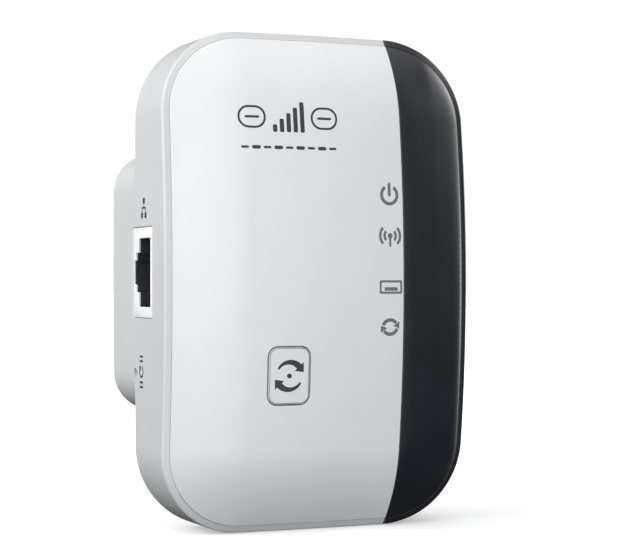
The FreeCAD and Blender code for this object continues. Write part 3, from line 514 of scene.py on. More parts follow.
def rounded_section(corners, steps=6):
    """Closed section from (inset, y, radius) corners, sharp ones doubled.

    Rows are (inset, y, normal along inset, normal along y).
    """
    flat = [np.array(corner[:2], float) for corner in corners]
    count = len(flat)
    area = sum(flat[i][0] * flat[(i + 1) % count][1] - flat[(i + 1) % count][0] * flat[i][1]
               for i in range(count))
    sign = 1.0 if area > 0 else -1.0
    rows = []
    for i in range(count):
        before, corner, after = flat[i - 1], flat[i], flat[(i + 1) % count]
        arrive = (corner - before) / np.linalg.norm(corner - before)
        leave = (after - corner) / np.linalg.norm(after - corner)
        normal_in = sign * np.array([arrive[1], -arrive[0]])
        normal_out = sign * np.array([leave[1], -leave[0]])
        radius = corners[i][2]
        if radius <= 0:
            rows += [(*corner, *normal_in), (*corner, *normal_out)]
            continue
        half = math.acos(float(np.clip(np.dot(arrive, leave), -1, 1))) / 2
        centre = corner - arrive * (radius * math.tan(half)) - normal_in * radius
        for k in range(steps + 1):
            angle = 2 * half * (k / steps)
            normal = (normal_in * math.sin(2 * half - angle)
                      + normal_out * math.sin(angle)) / max(math.sin(2 * half), 1e-9)
            normal = normal / np.linalg.norm(normal)
            rows.append((*(centre + normal * radius), *normal))
    return np.array(rows)


def loft(skin, points, normals, section):
    """Sweep section(point, normal) along an open outline run and cap both ends."""
    skin.shell += 1
    bases, columns = [], []
    for point, normal in zip(points, normals):
        rows = section(point, normal)
        # the inset grows inwards, against the outward normal
        columns.append(np.stack([point[0] - rows[:, 0] * normal[0], rows[:, 1],
                                 point[1] - rows[:, 0] * normal[1]], 1))
        bases.append(skin.add(columns[-1], np.stack([-rows[:, 2] * normal[0], rows[:, 3],
                                                     -rows[:, 2] * normal[1]], 1)))
    count = len(columns[0])
    for first, second in zip(bases, bases[1:]):
        skin.band(first, second, count)
    for end, neighbour in ((0, 1), (-1, -2)):
        outward = points[end] - points[neighbour]
        outward = outward / np.linalg.norm(outward)
        skin.shell += 1
        base = skin.add(columns[end], (outward[0], 0, outward[1]))
        skin.faces.append(tuple(range(base, base + count)))


def lathe(skin, x, z, profile, count=64):
    """Turn a closed profile of (radius, y, corner radius) around a line along Y."""
    skin.shell += 1
    rows = rounded_section(profile, 5)
    bases = []
    for k in range(count):
        angle = 2 * math.pi * k / count
        cos, sin = math.cos(angle), math.sin(angle)
        bases.append(skin.add(
            np.stack([x + rows[:, 0] * cos, rows[:, 1], z + rows[:, 0] * sin], 1),
            np.stack([rows[:, 2] * cos, rows[:, 3], rows[:, 2] * sin], 1)))
    for i in range(count):
        skin.band(bases[i], bases[(i + 1) % count], len(rows))


# ------------------------------------------------------------------ shader helpers
def feed(tree, socket, value):
    """Link a value to a socket if it is an output, else store it there."""
    if isinstance(value, bpy.types.NodeSocket):
        tree.links.new(value, socket)
    else:
        socket.default_value = value


def math_node(tree, operation, first, second=0.0):
    node = tree.nodes.new("ShaderNodeMath")
    node.operation = operation
    for i, value in enumerate((first, second, 0.0)):
        feed(tree, node.inputs[i], value)
    return node.outputs[0]


class Shader:
    """A material around one Principled shader, with object coordinates in mm."""

    def __init__(self, name):
        self.material = bpy.data.materials.new(name)
        self.material.use_nodes = True
        self.tree = self.material.node_tree
        self.tree.nodes.clear()
        output = self.node("ShaderNodeOutputMaterial")
        self.principled = self.node("ShaderNodeBsdfPrincipled")
        self.tree.links.new(self.principled.outputs[0], output.inputs[0])
        coordinates = self.node("ShaderNodeTexCoord").outputs["Object"]
        self.mm = self.node("ShaderNodeMapping", Vector=coordinates,
                            Scale=(1000, 1000, 1000)).outputs[0]

    def feed_all(self, node, inputs):
        for key, value in inputs.items():
            feed(self.tree, node.inputs[key.replace("_", " ")], value)

    def node(self, kind, **inputs):
        node = self.tree.nodes.new(kind)
        self.feed_all(node, inputs)
        return node

    def finish(self, **inputs):
        """Feed the Principled shader and return the material."""
        self.feed_all(self.principled, inputs)
        return self.material

    def noise(self, scale, detail=2.0, rough=0.5, at=None):
        return self.node("ShaderNodeTexNoise", Vector=at or self.mm, Scale=scale,
                         Detail=detail, Roughness=rough).outputs[0]

    def math(self, operation, first, second=0.0):
        return math_node(self.tree, operation, first, second)

    def ramp(self, factor, low, high, start=0.3, end=0.7):
        """Blend two colours between two values of the factor."""
        node = self.node("ShaderNodeValToRGB", Fac=factor)
        stops = ((start, low), (end, high))
        for element, (position, colour) in zip(node.color_ramp.elements, stops):
            element.position = position
            element.color = (*colour, 1)
        return node.outputs[0]

    def mix(self, factor, first, second):
        node = self.tree.nodes.new("ShaderNodeMix")
        node.data_type = "RGBA"
        for i, value in ((0, factor), (6, first), (7, second)):
            feed(self.tree, node.inputs[i], value)
        return node.outputs[2]

    def remap(self, value, low, high, source=(0.3, 0.7), interpolation="LINEAR"):
        node = self.tree.nodes.new("ShaderNodeMapRange")
        node.interpolation_type = interpolation
        for i, item in enumerate((value, *source, low, high)):
            feed(self.tree, node.inputs[i], item)
        return node.outputs[0]

    def bump(self, height, depth, strength=1.0, over=None):
        """A bump of the given depth in mm, over another normal if one is given."""
        node = self.node("ShaderNodeBump", Strength=strength, Distance=depth * 0.001,
                         Height=height)
        if over is not None:
            self.tree.links.new(over, node.inputs["Normal"])
        return node.outputs[0]


def scaled(colour, factor):
    return tuple(min(1, channel * factor) for channel in colour)


# ------------------------------------------------------------------ materials
def plastic(name, colour, rough, grain, depth, wave=0.004, coat=0.0, tint=0.015, spec=0.5):
    """Moulded plastic: grain size and depth and wave depth in mm, tint the colour drift."""
    shader = Shader(name)
    broad = shader.noise(0.12, detail=3, rough=0.55)
    fine = shader.noise(1.0 / grain, detail=3, rough=0.6)
    waves = shader.noise(0.16, detail=1, rough=0.4)
    dark = tuple(max(0.0, channel * (1 - tint) - 0.002) for channel in colour)
    smudges = shader.remap(shader.noise(0.5, detail=4, rough=0.6), -0.02, 0.03)
    roughness = shader.math("ADD", shader.remap(fine, rough * 0.82, rough * 1.18), smudges)
    if coat:
        shader.finish(Coat_Weight=coat, Coat_Roughness=0.035)
    return shader.finish(Base_Color=shader.ramp(broad, dark, scaled(colour, 1 + tint)),
                         Roughness=roughness, Specular_IOR_Level=spec,
                         Normal=shader.bump(fine, depth, over=shader.bump(waves, wave)))


def moulded_chip(name, colour=(0.028, 0.028, 0.031), rough=0.55):
    return plastic(name, colour, rough, grain=0.09, depth=0.006, wave=0.001, tint=0.12, spec=0.4)


def metal(name, colour, rough, streak=(1, 1, 1), streak_scale=6.0, depth=0.004):
    """Metal with roughness streaks; streak is the noise frequency along each axis."""
    shader = Shader(name)
    stretched = shader.node("ShaderNodeMapping", Vector=shader.mm, Scale=streak)
    streaks = shader.noise(streak_scale, detail=4, rough=0.7, at=stretched.outputs[0])
    spots = shader.noise(0.9, detail=4, rough=0.65)
    return shader.finish(Base_Color=shader.ramp(spots, scaled(colour, 0.82), colour, start=0.25),
                         Metallic=1.0, Normal=shader.bump(streaks, depth),
                         Roughness=shader.remap(streaks, rough * 0.7, rough * 1.35))


def board(name, mask, trace):
    """Solder mask over copper: tracks at right angles, vias and a faint weave."""
    shader = Shader(name)
    axes = shader.node("ShaderNodeSeparateXYZ", Vector=shader.mm)
    flat = shader.node("ShaderNodeCombineXYZ", X=axes.outputs[0], Y=axes.outputs[2]).outputs[0]
    brick = shader.node("ShaderNodeTexBrick", Vector=flat, Scale=1.0, Mortar_Size=0.16,
                        Brick_Width=3.1, Row_Height=1.27)
    tracks = shader.math("GREATER_THAN", brick.outputs["Fac"], 0.5)
    cells = shader.node("ShaderNodeTexVoronoi", Vector=flat, Scale=0.42)
    vias = shader.math("LESS_THAN", cells.outputs["Distance"], 0.16)
    weave = shader.node("ShaderNodeTexWave", Vector=flat, Scale=1.2, Distortion=0.4)
    colour = shader.mix(vias, shader.mix(tracks, mask, trace), (0.62, 0.55, 0.36, 1))
    relief = shader.bump(shader.math("ADD", tracks, vias), 0.02)
    return shader.finish(
        Base_Color=colour, Roughness=shader.remap(shader.noise(1.5), 0.28, 0.42),
        Metallic=shader.math("MULTIPLY", vias, 0.8),
        Normal=shader.bump(weave.outputs["Fac"], 0.004, strength=0.5, over=relief))


def cable(name, colour):
    shader = Shader(name)
    tone = shader.ramp(shader.noise(1.8, detail=3), scaled(colour, 0.8), colour)
    return shader.finish(Base_Color=tone, Roughness=shader.remap(shader.noise(9.0), 0.38, 0.55),
                         Normal=shader.bump(shader.noise(6.0), 0.006))


def tape(name):
    """Yellow tape with shallow ridges across X."""
    shader = Shader(name)
    ridges = shader.node("ShaderNodeTexWave", Vector=shader.mm, Scale=0.55, Distortion=0.15)
    ridges.wave_type = "BANDS"
    ridges.bands_direction = "X"
    tone = shader.ramp(shader.noise(0.7), (0.66, 0.46, 0.05), (0.83, 0.62, 0.10))
    return shader.finish(Base_Color=tone, Roughness=shader.remap(shader.noise(2.0), 0.22, 0.36),
                         Normal=shader.bump(ridges.outputs["Fac"], 0.03, strength=0.7))


def clear(name, tint=(0.93, 0.95, 0.96)):
    shader = Shader(name)
    return shader.finish(Base_Color=shader.ramp(shader.noise(0.4), scaled(tint, 0.97), tint),
                         Roughness=shader.remap(shader.noise(3.0), 0.08, 0.2),
                         Transmission_Weight=0.85, IOR=1.5,
                         Normal=shader.bump(shader.noise(2.0), 0.004))


def ink(name, colour):
    shader = Shader(name)
    speckle = shader.noise(14.0, detail=3)
    return shader.finish(
        Base_Color=shader.ramp(speckle, scaled(colour, 0.85), scaled(colour, 1.15)),
        Roughness=shader.remap(speckle, 0.42, 0.58),
        Normal=shader.bump(speckle, 0.003, strength=0.6))


def foil_label(name):
    shader = Shader(name)
    crinkle = shader.noise(9.0, detail=4)
    return shader.finish(
        Base_Color=shader.ramp(crinkle, (0.60, 0.61, 0.62), (0.70, 0.71, 0.72)),
        Roughness=shader.remap(shader.noise(3.0), 0.38, 0.5), Metallic=0.35,
        Normal=shader.bump(crinkle, 0.004))


MATERIALS = {name: make(name, **settings) for name, make, settings in (
    ("housing_white", plastic, dict(colour=(0.60, 0.605, 0.615), rough=0.34, grain=0.16,
                                    depth=0.003, wave=0.003, spec=0.42)),
    ("cover_white", plastic, dict(colour=(0.76, 0.765, 0.775), rough=0.16, grain=0.45,
                                  depth=0.0012, wave=0.006, coat=0.35)),
    ("trim_black", plastic, dict(colour=(0.018, 0.019, 0.024), rough=0.17, grain=0.5,
                                 depth=0.001, wave=0.006, coat=0.6, tint=0.08)),
    ("button_white", plastic, dict(colour=(0.76, 0.765, 0.775), rough=0.18, grain=0.4,
                                   depth=0.0015, wave=0.003, coat=0.3)),
    ("plug_insert", plastic, dict(colour=(0.64, 0.645, 0.65), rough=0.42, grain=0.22,
                                  depth=0.006, wave=0.002)),
    ("pin_metal", metal, dict(colour=(0.80, 0.79, 0.76), rough=0.2, streak=(6, 0.4, 6),
                              streak_scale=3.0, depth=0.003)),
    ("pin_sleeve", plastic, dict(colour=(0.03, 0.03, 0.033), rough=0.4, grain=0.15,
                                 depth=0.004, wave=0.001, tint=0.1)),
    ("label_silver", foil_label, {}),
    ("jack_white", plastic, dict(colour=(0.88, 0.88, 0.885), rough=0.3, grain=0.25,
                                 depth=0.003, wave=0.002)),
    ("jack_dark", plastic, dict(colour=(0.032, 0.032, 0.036), rough=0.45, grain=0.2,
                                depth=0.005, wave=0.001, tint=0.1)),
    ("gold", metal, dict(colour=(0.90, 0.66, 0.26), rough=0.22, streak_scale=5.0, depth=0.002)),
    ("board_green", board, dict(mask=(0.012, 0.10, 0.045, 1), trace=(0.02, 0.16, 0.07, 1))),
    ("board_tan", board, dict(mask=(0.36, 0.25, 0.10, 1), trace=(0.50, 0.38, 0.17, 1))),
    ("chip_black", moulded_chip, {}),
    ("tinned", metal, dict(colour=(0.74, 0.74, 0.73), rough=0.34, streak_scale=4.0)),
    ("steel", metal, dict(colour=(0.62, 0.62, 0.63), rough=0.3, streak=(1, 6, 1),
                          streak_scale=4.0)),
    ("ferrite", plastic, dict(colour=(0.04, 0.04, 0.044), rough=0.62, grain=0.12,
                              depth=0.012, wave=0.002, tint=0.2)),
    ("tape_yellow", tape, {}),
    ("bobbin", moulded_chip, dict(colour=(0.05, 0.05, 0.052), rough=0.45)),
    ("cap_sleeve", plastic, dict(colour=(0.02, 0.03, 0.075), rough=0.28, grain=0.6,
                                 depth=0.004, wave=0.01, coat=0.3, tint=0.1)),
    ("ceramic", plastic, dict(colour=(0.55, 0.42, 0.27), rough=0.5, grain=0.1,
                              depth=0.004, wave=0.001, tint=0.12)),
    ("resistor", moulded_chip, dict(colour=(0.02, 0.02, 0.023), rough=0.3)),
    ("blue_disc", plastic, dict(colour=(0.03, 0.16, 0.42), rough=0.25, grain=0.5,
                                depth=0.006, wave=0.02, coat=0.5, tint=0.12)),
    ("clear_guide", clear, {}),
    ("led_body", clear, dict(tint=(0.95, 0.93, 0.80))),
    ("cable_black", cable, dict(colour=(0.02, 0.02, 0.022))),
    ("cable_red", cable, dict(colour=(0.32, 0.03, 0.02))),
    ("copper", metal, dict(colour=(0.85, 0.47, 0.27), rough=0.3, streak_scale=5.0,
                           depth=0.003)),
    ("sheet_white", plastic, dict(colour=(0.72, 0.72, 0.68), rough=0.5, grain=0.5,
                                  depth=0.006, wave=0.03)),
    ("plunger_black", moulded_chip, dict(colour=(0.03, 0.03, 0.034), rough=0.5)),
)}
INK = ink("ink_dark", (0.030, 0.031, 0.035))
INK_GREY = ink("ink_grey", (0.15, 0.155, 0.165))

# ------------------------------------------------------------------ rear housing
BODY, BODY_NORMALS = outline()
# height where the plug block's side meets its corner arc; below it block and side are flush
FLUSH_Z = corner_centre(HALF_W, BLOCK_HALF_H, BLOCK_R)[1] * SIDE_R / (SIDE_R - BLOCK_R)
PATCH_LOW = -17.4       # the flat left wall runs down past the reset hole


def rear_round(point, least=0.0):
    """Radius of the body's rear edge, nearly sharp where the plug block is flush."""
    x, z = point
    if abs(x) < 27.0:
        return REAR_EDGE_R
    return max(least, 0.03, REAR_EDGE_R * smooth_step((abs(z) - FLUSH_Z) / 4.0))


def lip_corners(point, normal):
    """The rim's y at a point, and the lip's outer and inner corners there."""
    rim = float(rim_at(point[1]))
    outer = (0, rim + LIP_OUT + LIP_TILT * normal[1] ** 2, LIP_R)
    return rim, outer, (LIP, rim + LIP_IN, 0.06)


def wall_section(point, normal):
    """Full side wall with its lip."""
    rim, outer, inner = lip_corners(point, normal)
    return rounded_section([outer, (0, REAR_Y, rear_round(point)), (WALL_IN, REAR_Y, 0),
                            (WALL_IN, rim + 2.5, 0), (LIP, rim + 2.5, 0), inner])


def lip_section(point, normal):
    """Only the lip, in front of the flat left wall."""
    rim, outer, inner = lip_corners(point, normal)
    return rounded_section([outer, (0, rim + 1.6, 0), (LIP, rim + 1.6, 0), inner])


def add_body_walls(skin):
    points, normals = clip_outline(BODY, BODY_NORMALS, -1, SPLIT_X - SPLIT_GAP / 2)
    if points[0, 1] <= 0:       # run from the top down
        points, normals = points[::-1], normals[::-1]
    points, normals = insert_heights(points, normals, (FLUSH_Z, PATCH_LOW))
    flush = ((points[:, 0] < -20) & (points[:, 1] <= FLUSH_Z + 1e-6)
             & (points[:, 1] >= PATCH_LOW - 1e-6))
    first, last = np.where(flush)[0][[0, -1]]
    for run, section in ((slice(0, first + 1), wall_section), (slice(last, None), wall_section),
                         (slice(first, last + 1), lip_section)):
        loft(skin, points[run], normals[run], section)

    # flat left wall in (z, y), with the jack window and the reset hole
    heights = points[first:last + 1, 1]
    front_edge = np.stack([heights, rim_at(heights) + 1.59], 1)
    rising = heights[::-1][heights[::-1] > -FLUSH_Z + 0.05]
    rear_edge = np.vstack([[(PATCH_LOW, REAR_Y), (-FLUSH_Z, REAR_Y), (-FLUSH_Z, -REAR_EDGE_R)],
                           np.stack([rising, np.full(len(rising), -REAR_EDGE_R)], 1)])
    window = rounded_rect(JACK_Z, (JACK_FRONT_Y + JACK_REAR_Y) / 2, 2 * JACK_HALF_Z + JACK_PLAY,
                          JACK_REAR_Y - JACK_FRONT_Y + JACK_PLAY, 0.3, 6)
    plate(skin, LEFT, densify(np.vstack([front_edge, rear_edge]), 0.9),
          [densify(window, 0.6), circle(RESET_Z, RESET_Y, RESET_R, 32)],
          edge_r=0.0, hole_r=0.14, thick=1.0, pitch=0.9)


def add_plug_block(skin):
    points, normals = outline(HALF_W, BLOCK_HALF_H, BLOCK_R, side_n=40, top_n=40, corner_n=26)
    flush = (points[:, 0] < -20) & (np.abs(points[:, 1]) <= FLUSH_Z + 1e-3)
    start = int(np.where(flush)[0][0])
    points, normals = np.roll(points, -start, 0), np.roll(normals, -start, 0)
    count = int(flush.sum())
    # behind the flat left wall only the rear edge is needed; elsewhere the full depth
    for columns, front_y in ((list(range(count)), -REAR_EDGE_R - 0.02),
                             (list(range(count - 1, len(points))) + [0], REAR_Y - 0.6)):
        section = rounded_section([(0, front_y, 0), (0, 0, REAR_EDGE_R),
                                   (WALL, 0, 0), (WALL, front_y, 0)])
        loft(skin, points[columns], normals[columns], lambda point, normal: section)
    tip = SOCKET_TIP + SOCKET_PLAY
    corner_x = SOCKET_CORNER_X + SOCKET_PLAY * 0.41
    half_h = SOCKET_HALF_H + SOCKET_PLAY
    hexagon = np.array([(tip, 0), (corner_x, half_h), (-corner_x, half_h),
                        (-tip, 0), (-corner_x, -half_h), (corner_x, -half_h)])
    plate(skin, flat_back(0.0), points - WALL * normals, [densify(soften(hexagon, 1.2), 1.5)],
          edge_r=0.0, hole_r=0.15, thick=WALL, pitch=2.0)


def add_rear_plate(skin, side):
    """Rear face above (side 1) or below (side -1) the block, with slots and screw bosses."""
    edge, _ = clip_outline(BODY - WALL_IN * BODY_NORMALS, BODY_NORMALS, side, 15.0 * side, axis=1)
    holes = [rounded_rect(i * SLOT_PITCH, side * SLOT_Z, SLOT_W, SLOT_H, SLOT_R, 6)
             for i in range(-3, 4)]
    holes += [circle(x, side * SCREW_Z, SCREW_R, 36) for x in (-SCREW_X, SCREW_X)]
    plate(skin, flat_back(REAR_Y), densify(edge, 1.2), holes,
          edge_r=0.0, hole_r=0.22, thick=WALL, pitch=1.6)
    boss_r, bore_r, front_y = 3.1, 1.3, REAR_Y - 9.5
    boss = [(SCREW_R, REAR_Y - 0.3, 0), (boss_r, REAR_Y - 0.3, 0), (boss_r, front_y, 0),
            (bore_r, front_y, 0), (bore_r, REAR_Y - 3.0, 0), (SCREW_R, REAR_Y - 3.0, 0)]
    for x in (-SCREW_X, SCREW_X):
        lathe(skin, x, side * SCREW_Z, boss, count=48)


def build_housing():
    skin = Skin()
    add_body_walls(skin)
    add_plug_block(skin)
    for side in (1, -1):
        add_rear_plate(skin, side)
    skin.build("housing_shell", BASE, MATERIALS["housing_white"], "housing_white",
               ["rear_housing"])


# ------------------------------------------------------------------ front pieces
def button_rect(grow=0.0, corner_grow=0.0):
    """The button's outline, its width and height larger by grow."""
    return rounded_rect(BUTTON_X, BUTTON_Z, BUTTON_W + grow, BUTTON_H + grow,
                        BUTTON_R + corner_grow)


def add_front_sheet(skin, side, holes=(), hole_r=0.0):
    """The domed sheet to one side of the joint."""
    edge, _ = clip_outline(BODY - COVER_IN * BODY_NORMALS, BODY_NORMALS, side,
                           SPLIT_X + side * SPLIT_GAP / 2)
    plate(skin, FRONT, densify(ccw(edge), 0.8), holes, edge_r=COVER_EDGE_R, hole_r=hole_r,
          thick=WALL, pitch=COVER_PITCH)


def build_cover():
    skin = Skin()
    hole = densify(button_rect(2 * BUTTON_GAP, BUTTON_GAP), 0.5)
    add_front_sheet(skin, -1, [hole], hole_r=0.1)
    skin.build("cover_shell", BASE, MATERIALS["cover_white"], "cover_white", ["front_cover"])


def trim_section(point, normal):
    """Side wall of the trim, level with the domed sheet."""
    x, z = point - COVER_IN * normal
    front_y, rear_y = float(dome_at(x, z)) - 0.03, REAR_Y - 0.02
    return rounded_section([(0, front_y + 0.36 + 0.25 * normal[1] ** 2, 0.5),
                            (0, rear_y, rear_round(point, least=0.15)),
                            (LIP, rear_y, 0), (LIP, front_y, 0.06)])


def ledge_section(point, normal):
    """Small ledge inside the trim's wall, behind the rim."""
    rim = float(rim_at(point[1]))
    return rounded_section([(1.1, rim + 1.2, 0), (1.6, rim + 1.2, 0),
                            (1.6, rim + 2.4, 0), (1.1, rim + 2.4, 0)])


def build_trim():
    skin = Skin()
    points, normals = clip_outline(BODY, BODY_NORMALS, 1, SPLIT_X + SPLIT_GAP / 2)
    loft(skin, points, normals, trim_section)
    loft(skin, points, normals, ledge_section)
    add_front_sheet(skin, 1)
    skin.build("trim_shell", BASE, MATERIALS["trim_black"], "trim_black", ["side_trim"])


def build_button():
    """Cap, the wider flange behind the cover, and a short stem."""
    skin = Skin()
    plate(skin, FRONT, densify(button_rect(), 0.5), edge_r=0.12, thick=4.2, pitch=0.45)
    plate(skin, FRONT, densify(button_rect(2.6), 0.8), edge_r=0.1, thick=0.9, pitch=1.0,
          proud=-2.08)
    lathe(skin, BUTTON_X, BUTTON_Z, [(0.001, -30.2, 0), (1.6, -30.2, 0), (1.6, -28.42, 0.15),
                                     (0.001, -28.42, 0)], count=32)
    skin.build("button_cap", PRESS, MATERIALS["button_white"], "button_white", ["wps_button"])


# ------------------------------------------------------------------ printed marks, and painted shade at the button's edge
def printed(name, surface, shapes, material, body=BASE, slot="cover_white", proud=0.012,
            pitch=0.5):
    """Thin plates of ink, or of painted shade for the button's edge ring; a shape is a polygon,
    or (outer, holes).
    """
    skin = Skin()
    for shape in shapes:
        outer, holes = shape if isinstance(shape, tuple) else (shape, [])
        plate(skin, surface, densify(ccw(outer), 0.35),
              [densify(ccw(hole), 0.35) for hole in holes],
              edge_r=0.0, thick=0.05, pitch=pitch, proud=proud)
    skin.build(name, body, material, slot)


def print_signal_mark():
    """Five rising bars between two pill outlines, over a row of dashes."""
    mark_x, mark_z = -7.3, 28.4
    shapes = [rounded_rect(mark_x + (i - 2) * 1.25, mark_z - 2.75 + height / 2,
                           0.78, height, 0.25, 5)
              for i, height in enumerate((1.3, 2.3, 3.3, 4.3, 5.3))]
    z = mark_z - 0.2
    for side in (-1, 1):
        x = mark_x + side * 6.6
        shapes += [rect_frame(x, z, (5.0, 3.9, 1.9), (4.25, 3.15, 1.55)),
                   bar(x - 1.1, z, x + 1.1, z, 0.42)]
    z = mark_z - 5.4
    for i in range(9):
        x = mark_x - 8.0 + i * 2.0
        shapes.append(bar(x - 0.48, z, x + 0.48, z, 0.62 if i % 2 else 0.42))
    printed("print_signal_mark", FRONT, shapes, INK)


def print_status_symbols():
    """Four symbols in a column beside the dark trim."""
    x = 11.45
    z = 15.4        # open ring with a stroke through its gap
    shapes = [arc_stroke(x, z - 0.15, 1.55, 122, 418, 0.6), bar(x, z - 0.1, x, z + 1.75, 0.58)]
    z = 7.9         # dot on a stem between pairs of arcs
    shapes += [circle(x, z + 0.2, 0.5, 20), bar(x, z - 0.1, x, z - 1.55, 0.42)]
    shapes += [arc_stroke(x, z + 0.2, radius, turn - 44, turn + 44, 0.5)
               for turn in (0, 180) for radius in (1.12, 1.98)]
    z = -0.85       # frame with a short bar in it
    shapes += [rect_frame(x + 0.1, z, (4.5, 2.35, 0.25), (3.75, 1.6, 0.12), 4),
               rounded_rect(x + 0.15, z - 0.35, 2.6, 0.62, 0.1, 4)]
    z = -7.85       # two turning arrows
    for side, turn in ((1, 0), (-1, 180)):
        arc_z = z - side * 0.25
        shapes += [arc_stroke(x, arc_z, 1.5, turn + 38, turn + 158, 0.62),
                   arrow_head(x, arc_z, 1.5, turn + 34, half_width=0.75, length=1.05)]
    printed("print_status_symbols", FRONT, shapes, INK_GREY)


def print_button_marks_and_edge_shade():
    """A thin grey ring just inside the cap's edge, painted shade that darkens the gap around the
    cap, and two printed turning arrows around a dot.
    """
    # painted shade: a grey ring inside the cap's edge, so that the gap around the button reads as
    # a dark line
    ring = (button_rect(-0.22, -0.11), [button_rect(-0.44, -0.22)])
    printed("button_edge_painted_shade", FRONT, [ring], INK_GREY, PRESS, "button_white", proud=0.008)
    radius, shapes = 2.35, []
    for turn in (0, 180):
        shapes += [arc_stroke(BUTTON_X, BUTTON_Z, radius, turn + 42, turn + 150, 1.15, 0.35),
                   arrow_head(BUTTON_X, BUTTON_Z, radius, turn + 42, half_width=1.1, length=1.3)]
    shapes.append(circle(BUTTON_X, BUTTON_Z, 0.42, 20))
    printed("print_button_arrows", FRONT, shapes, INK, PRESS, "button_white")


def print_side_symbols():
    """On the left wall: three linked squares, and a turning arrow between dashes."""
    z, y, unit = 12.75, -17.75, 1.25
    shapes = [rounded_rect(z + dz * unit, y + dy * unit, 0.8 * unit, 0.85 * unit, 0.12, 4)
              for dz, dy in ((1.1, 0.0), (-0.95, -0.75), (-0.95, 0.75))]
    links = ((0.75, 0, 0.1, 0), (0.1, -0.75, 0.1, 0.75),        # z, y to z, y
             (0.1, -0.75, -0.6, -0.75), (0.1, 0.75, -0.6, 0.75))
    shapes += [bar(z + z0 * unit, y + y0 * unit, z + z1 * unit, y + y1 * unit, 0.3)
               for z0, y0, z1, y1 in links]
    z, y, radius = -15.6, -16.4, 0.9
    shapes += [arc_stroke(z, y, radius, 60, 345, 0.36),
               arrow_head(z, y, radius, 60, half_width=0.55, length=0.8)]
    shapes += [bar(z + dz, y - 0.65, z + dz, y + 0.65, 0.36) for dz in (1.85, 2.65, -1.85, -2.65)]
    printed("print_side_symbols", LEFT, shapes, INK, slot="housing_white", pitch=0.4)


def print_label_rules():
    """On the rear label: a frame, four plain rules and a square mark."""
    z, mark_x = 14.7, 13.5
    shapes = [rect_frame(0, z, (38.4, 7.6, 0.8), (37.9, 7.1, 0.6), 6)]
    for k in range(4):
        rule_z = 12.6 + k * 1.4
        shapes.append(bar(-17.5, rule_z, 4.0 - (k % 2) * 5, rule_z, 0.28))
    shapes += [rect_frame(mark_x, z, (4.6, 4.6, 0.3), (3.7, 3.7, 0.2), 4),
               rounded_rect(mark_x, z, 1.8, 1.8, 0.2, 4)]
    printed("print_label_rules", flat_back(0.13), shapes, INK_GREY, slot="label_silver",
            proud=0.01, pitch=1.5)


# ------------------------------------------------------------------ plug pins
def build_pins():
    front_y, sleeve_end_y, tip_y = -5.6, 27.52, 36.5
    shank_r, tip_r = 1.45, 2.0
    profile = [(0.001, front_y, 0), (shank_r, front_y, 0.2), (shank_r, sleeve_end_y, 0),
               (tip_r, sleeve_end_y, 0.12), (tip_r, 35.4, 0.5), (1.25, tip_y, 0.35),
               (0.001, tip_y, 0)]
    for side, x in (("left", -PIN_X), ("right", PIN_X)):
        skin = Skin()
        lathe(skin, x, 0, profile)
        skin.build("pin_%s_turned" % side, BASE, MATERIALS["pin_metal"], "pin_metal",
                   ["plug_pin_" + side])
    skin = Skin()
    for x in (-PIN_X, PIN_X):
        lathe(skin, x, 0, [(1.47, 14.6, 0), (1.8, 14.6, 0), (1.8, 27.5, 0.1), (1.47, 27.5, 0)])
    skin.build("pin_sleeves_turned", BASE, MATERIALS["pin_sleeve"], "pin_sleeve",
               ["pin_sleeves"])


# ------------------------------------------------------------------ CAD pieces that stay
BEVEL_WIDTHS = {        # mm
    "rj45_jack_body": 0.12, "plug_nose": 0.12, "housing_screws": 0.1, "board_screws": 0.1,
    "rf_shield": 0.12, "wifi_soc": 0.08, "memory_chip": 0.08, "flash_chip": 0.1,
    "ethernet_transformer": 0.12, "main_board": 0.08, "power_board": 0.08,
    "transformer_core": 0.2, "fuse": 0.2, "bridge_rectifier": 0.12, "rj45_contacts": 0.03,
    "link_pins": 0.06, "reset_switch_base": 0.08, "wps_switch_base": 0.08}


def dress_cad_pieces():
    slot_of = {part["node"]: part["material_slot"] for part in loaded["record"]["subparts"]}
    for name, obj in loaded["nodes"].items():
        if obj.hide_render:
            continue
        obj.data.materials.clear()
        obj.data.materials.append(MATERIALS[slot_of[name]])
        obj.data.polygons.foreach_set("use_smooth", [True] * len(obj.data.polygons))
        weld = obj.modifiers.new("weld", "WELD")
        weld.merge_threshold = 2e-6
        if name in BEVEL_WIDTHS:
            bevel = obj.modifiers.new("edges", "BEVEL")
            bevel.width = BEVEL_WIDTHS[name] * 0.001
            bevel.segments = 2
            bevel.limit_method = "ANGLE"
            bevel.angle_limit = math.radians(35)
            bevel.use_clamp_overlap = True
            bevel.harden_normals = False
        split = obj.modifiers.new("split", "EDGE_SPLIT")
        split.split_angle = math.radians(38)
        split.use_edge_sharp = False


# ------------------------------------------------------------------ stage
def floor_material():
    """Pale floor whose own glow grows with distance from the product."""
    shader = Shader("floor_pale")
    clouds = shader.noise(0.02)
    axes = shader.node("ShaderNodeSeparateXYZ", Vector=shader.mm).outputs
    squares = [shader.math("POWER", shader.math("ADD", axes[i], shift), 2.0)
               for i, shift in ((0, 0.0), (1, 10.0))]
    distance = shader.math("SQRT", shader.math("ADD", *squares))
    glow = shader.remap(distance, 0.34, 1.1, source=(60.0, 240.0), interpolation="SMOOTHSTEP")
    return shader.finish(Base_Color=shader.ramp(clouds, (0.84, 0.84, 0.845), (0.86, 0.86, 0.865)),
                         Roughness=0.85, Specular_IOR_Level=0.0,
                         Normal=shader.bump(shader.noise(1.2), 0.002),
                         Emission_Color=(1.0, 1.0, 1.0, 1.0), Emission_Strength=glow)


